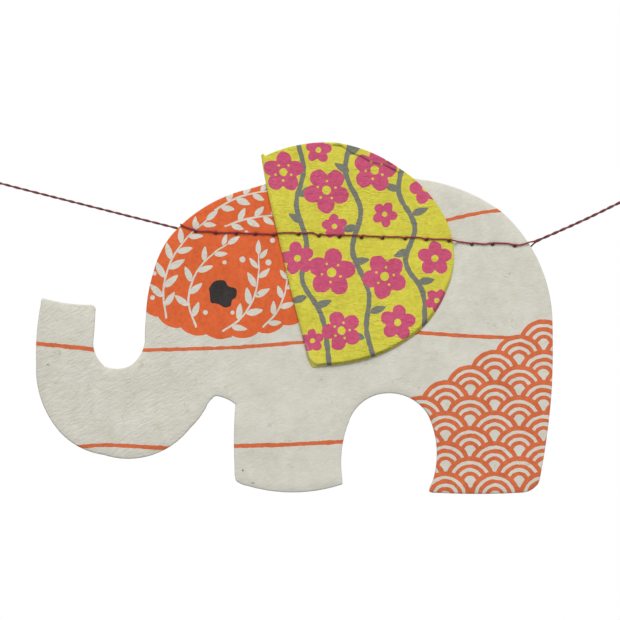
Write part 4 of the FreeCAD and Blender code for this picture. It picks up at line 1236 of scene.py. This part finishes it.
for i in range(len(HOLES)):
    y = surface(i)
    before, after = BEFORE[i], AFTER[i]
    come = (RISE[i - 1][1] if i else 0.42)
    needle += [at_hole(i, -0.68, 0.5 * (come + before) + 0.03, y), at_hole(i, -0.34, before + 0.05, y + 0.01),
               at_hole(i, -0.13, 0.5 * before + 0.05, y + 0.14), at_hole(i, -0.01, 0.06 + 0.3 * after, y + 0.44),
               at_hole(i, 0.09, 0.08 + 0.75 * after, y + 0.15)]
    if i == EAR_FIRST - 1:
        needle += [at_hole(i, 0.30, 0.24, y), at_hole(i, 0.52, 0.31, y - 0.02),
                   at_hole(i, 0.76, 0.37, y - EAR_THICK - EAR_GAP - 0.02), at_hole(i, 2.0, 0.46, y - EAR_THICK - EAR_GAP),
                   at_hole(i, 3.4, 0.46, y - EAR_THICK - EAR_GAP)]
    else:
        needle += [at_hole(i, 0.24, after + 0.07, y - 0.01), at_hole(i, 0.62, 0.5 * (after + RISE[i][0]) + 0.03, y)]
    if i < len(HOLES) - 1 and i != EAR_FIRST - 1:
        gap = np.linalg.norm(hole_xz[i + 1] - hole_xz[i])
        needle += [at_hole(i, gap * 0.36, RISE[i][0] + 0.01, y), at_hole(i, gap * 0.68, RISE[i][1] + 0.01, y)]
    if i == EAR_LAST:
        needle = needle[:-2]
        needle += [(82.12 + DATUM[0], y, 50.38 + DATUM[1]), (82.40 + DATUM[0], y + 0.06, 50.31 + DATUM[1]),
                   (82.84 + DATUM[0], -SKIM, 50.22 + DATUM[1]), (84.05 + DATUM[0], -SKIM, 50.07 + DATUM[1])]
    # the under thread comes up into the hole's mouth, hooks the needle thread and goes down again
    bobbin += [at_hole(i, -0.62, 0.0, SKIM), at_hole(i, -0.26, -0.02, SKIM - 0.12), at_hole(i, -0.13, -0.06, 0.0),
               at_hole(i, -0.12, -0.09, y + 0.44), at_hole(i, -0.08, -0.12, y + 0.26), at_hole(i, 0.04, -0.12, y + 0.24),
               at_hole(i, 0.11, -0.08, y + 0.42), at_hole(i, 0.12, -0.03, 0.0), at_hole(i, 0.26, 0.0, SKIM - 0.12),
               at_hole(i, 0.62, 0.0, SKIM)]
stop, heading = strand_start(RIGHT_RUN, +1)
needle += [(109.55, -SKIM, -14.06), (110.40, -SKIM, -13.80), (111.25, -SKIM, -13.52), (112.00, -0.12, -13.44),
           stop + heading * 0.25, stop]
stop, heading = strand_start(RIGHT_RUN, -1)
bobbin += [(110.30, SKIM, -14.56), (111.28, SKIM, -14.60), (111.66, SKIM - 0.05, -14.20), (112.00, 0.22, -13.84),
           (112.30, 0.10, -13.62), stop + heading * 0.22, stop]
for name, route, material, slot_name, node in (
        ("needle_seam", needle, MAROON, "maroon_thread", "needle_thread"),
        ("bobbin_seam", bobbin, DARK, "dark_thread", "bobbin_thread")):
    tubes = Tubes()
    points, _ = evenly(spline_line(route, 14), 0.075)
    tubes.strand(points, STRAND / 2 * 1.16, 0, (0, 0, 1))
    tubes.build(name, (material,), slot_name, node)

# ------------------------------------------------------------------ floor, light and surroundings
floor_mesh = bpy.data.meshes.new("floor")
floor_mesh.from_pydata([(-2.5, -2.5, -0.5), (2.6, -2.5, -0.5), (2.6, 2.0, -0.5), (-2.5, 2.0, -0.5)], [], [(0, 1, 2, 3)])
floor = bpy.data.objects.new("floor", floor_mesh)
scene.collection.objects.link(floor)
floor_material = bpy.data.materials.new("floor")
floor_material.use_nodes = True
floor_shader = floor_material.node_tree.nodes["Principled BSDF"]
floor_shader.inputs["Base Color"].default_value = (0.66, 0.66, 0.65, 1)
floor_shader.inputs["Roughness"].default_value = 0.9
floor_mesh.materials.append(floor_material)


def area_light(name, place, target, size, watts):
    data = bpy.data.lights.new(name, "AREA")
    data.shape = "SQUARE"
    data.size = size
    data.energy = watts
    lamp = bpy.data.objects.new(name, data)
    lamp.location = place
    lamp.rotation_euler = (Vector(target) - Vector(place)).to_track_quat("-Z", "Y").to_euler()
    scene.collection.objects.link(lamp)
    return lamp


centre = (0.068, 0.0, -0.028)
KEY = 17.2
area_light("key", (0.10, -0.84, 1.04), centre, 0.80, KEY)

world = bpy.data.worlds.new("studio")
scene.world = world
world.use_nodes = True
tree = world.node_tree
tree.nodes.clear()
shown = tree.nodes.new("ShaderNodeBackground")
shown.inputs["Color"].default_value = (1, 1, 1, 1)
shown.inputs["Strength"].default_value = 1.0
lighting = tree.nodes.new("ShaderNodeBackground")
lighting.inputs["Color"].default_value = (1, 1, 1, 1)
lighting.inputs["Strength"].default_value = 0.33
path = tree.nodes.new("ShaderNodeLightPath")
both = tree.nodes.new("ShaderNodeMixShader")
output = tree.nodes.new("ShaderNodeOutputWorld")
tree.links.new(path.outputs["Is Camera Ray"], both.inputs[0])
tree.links.new(lighting.outputs[0], both.inputs[1])
tree.links.new(shown.outputs[0], both.inputs[2])
tree.links.new(both.outputs[0], output.inputs[0])
scene.view_settings.view_transform = "Standard"
scene.view_settings.look = "None"
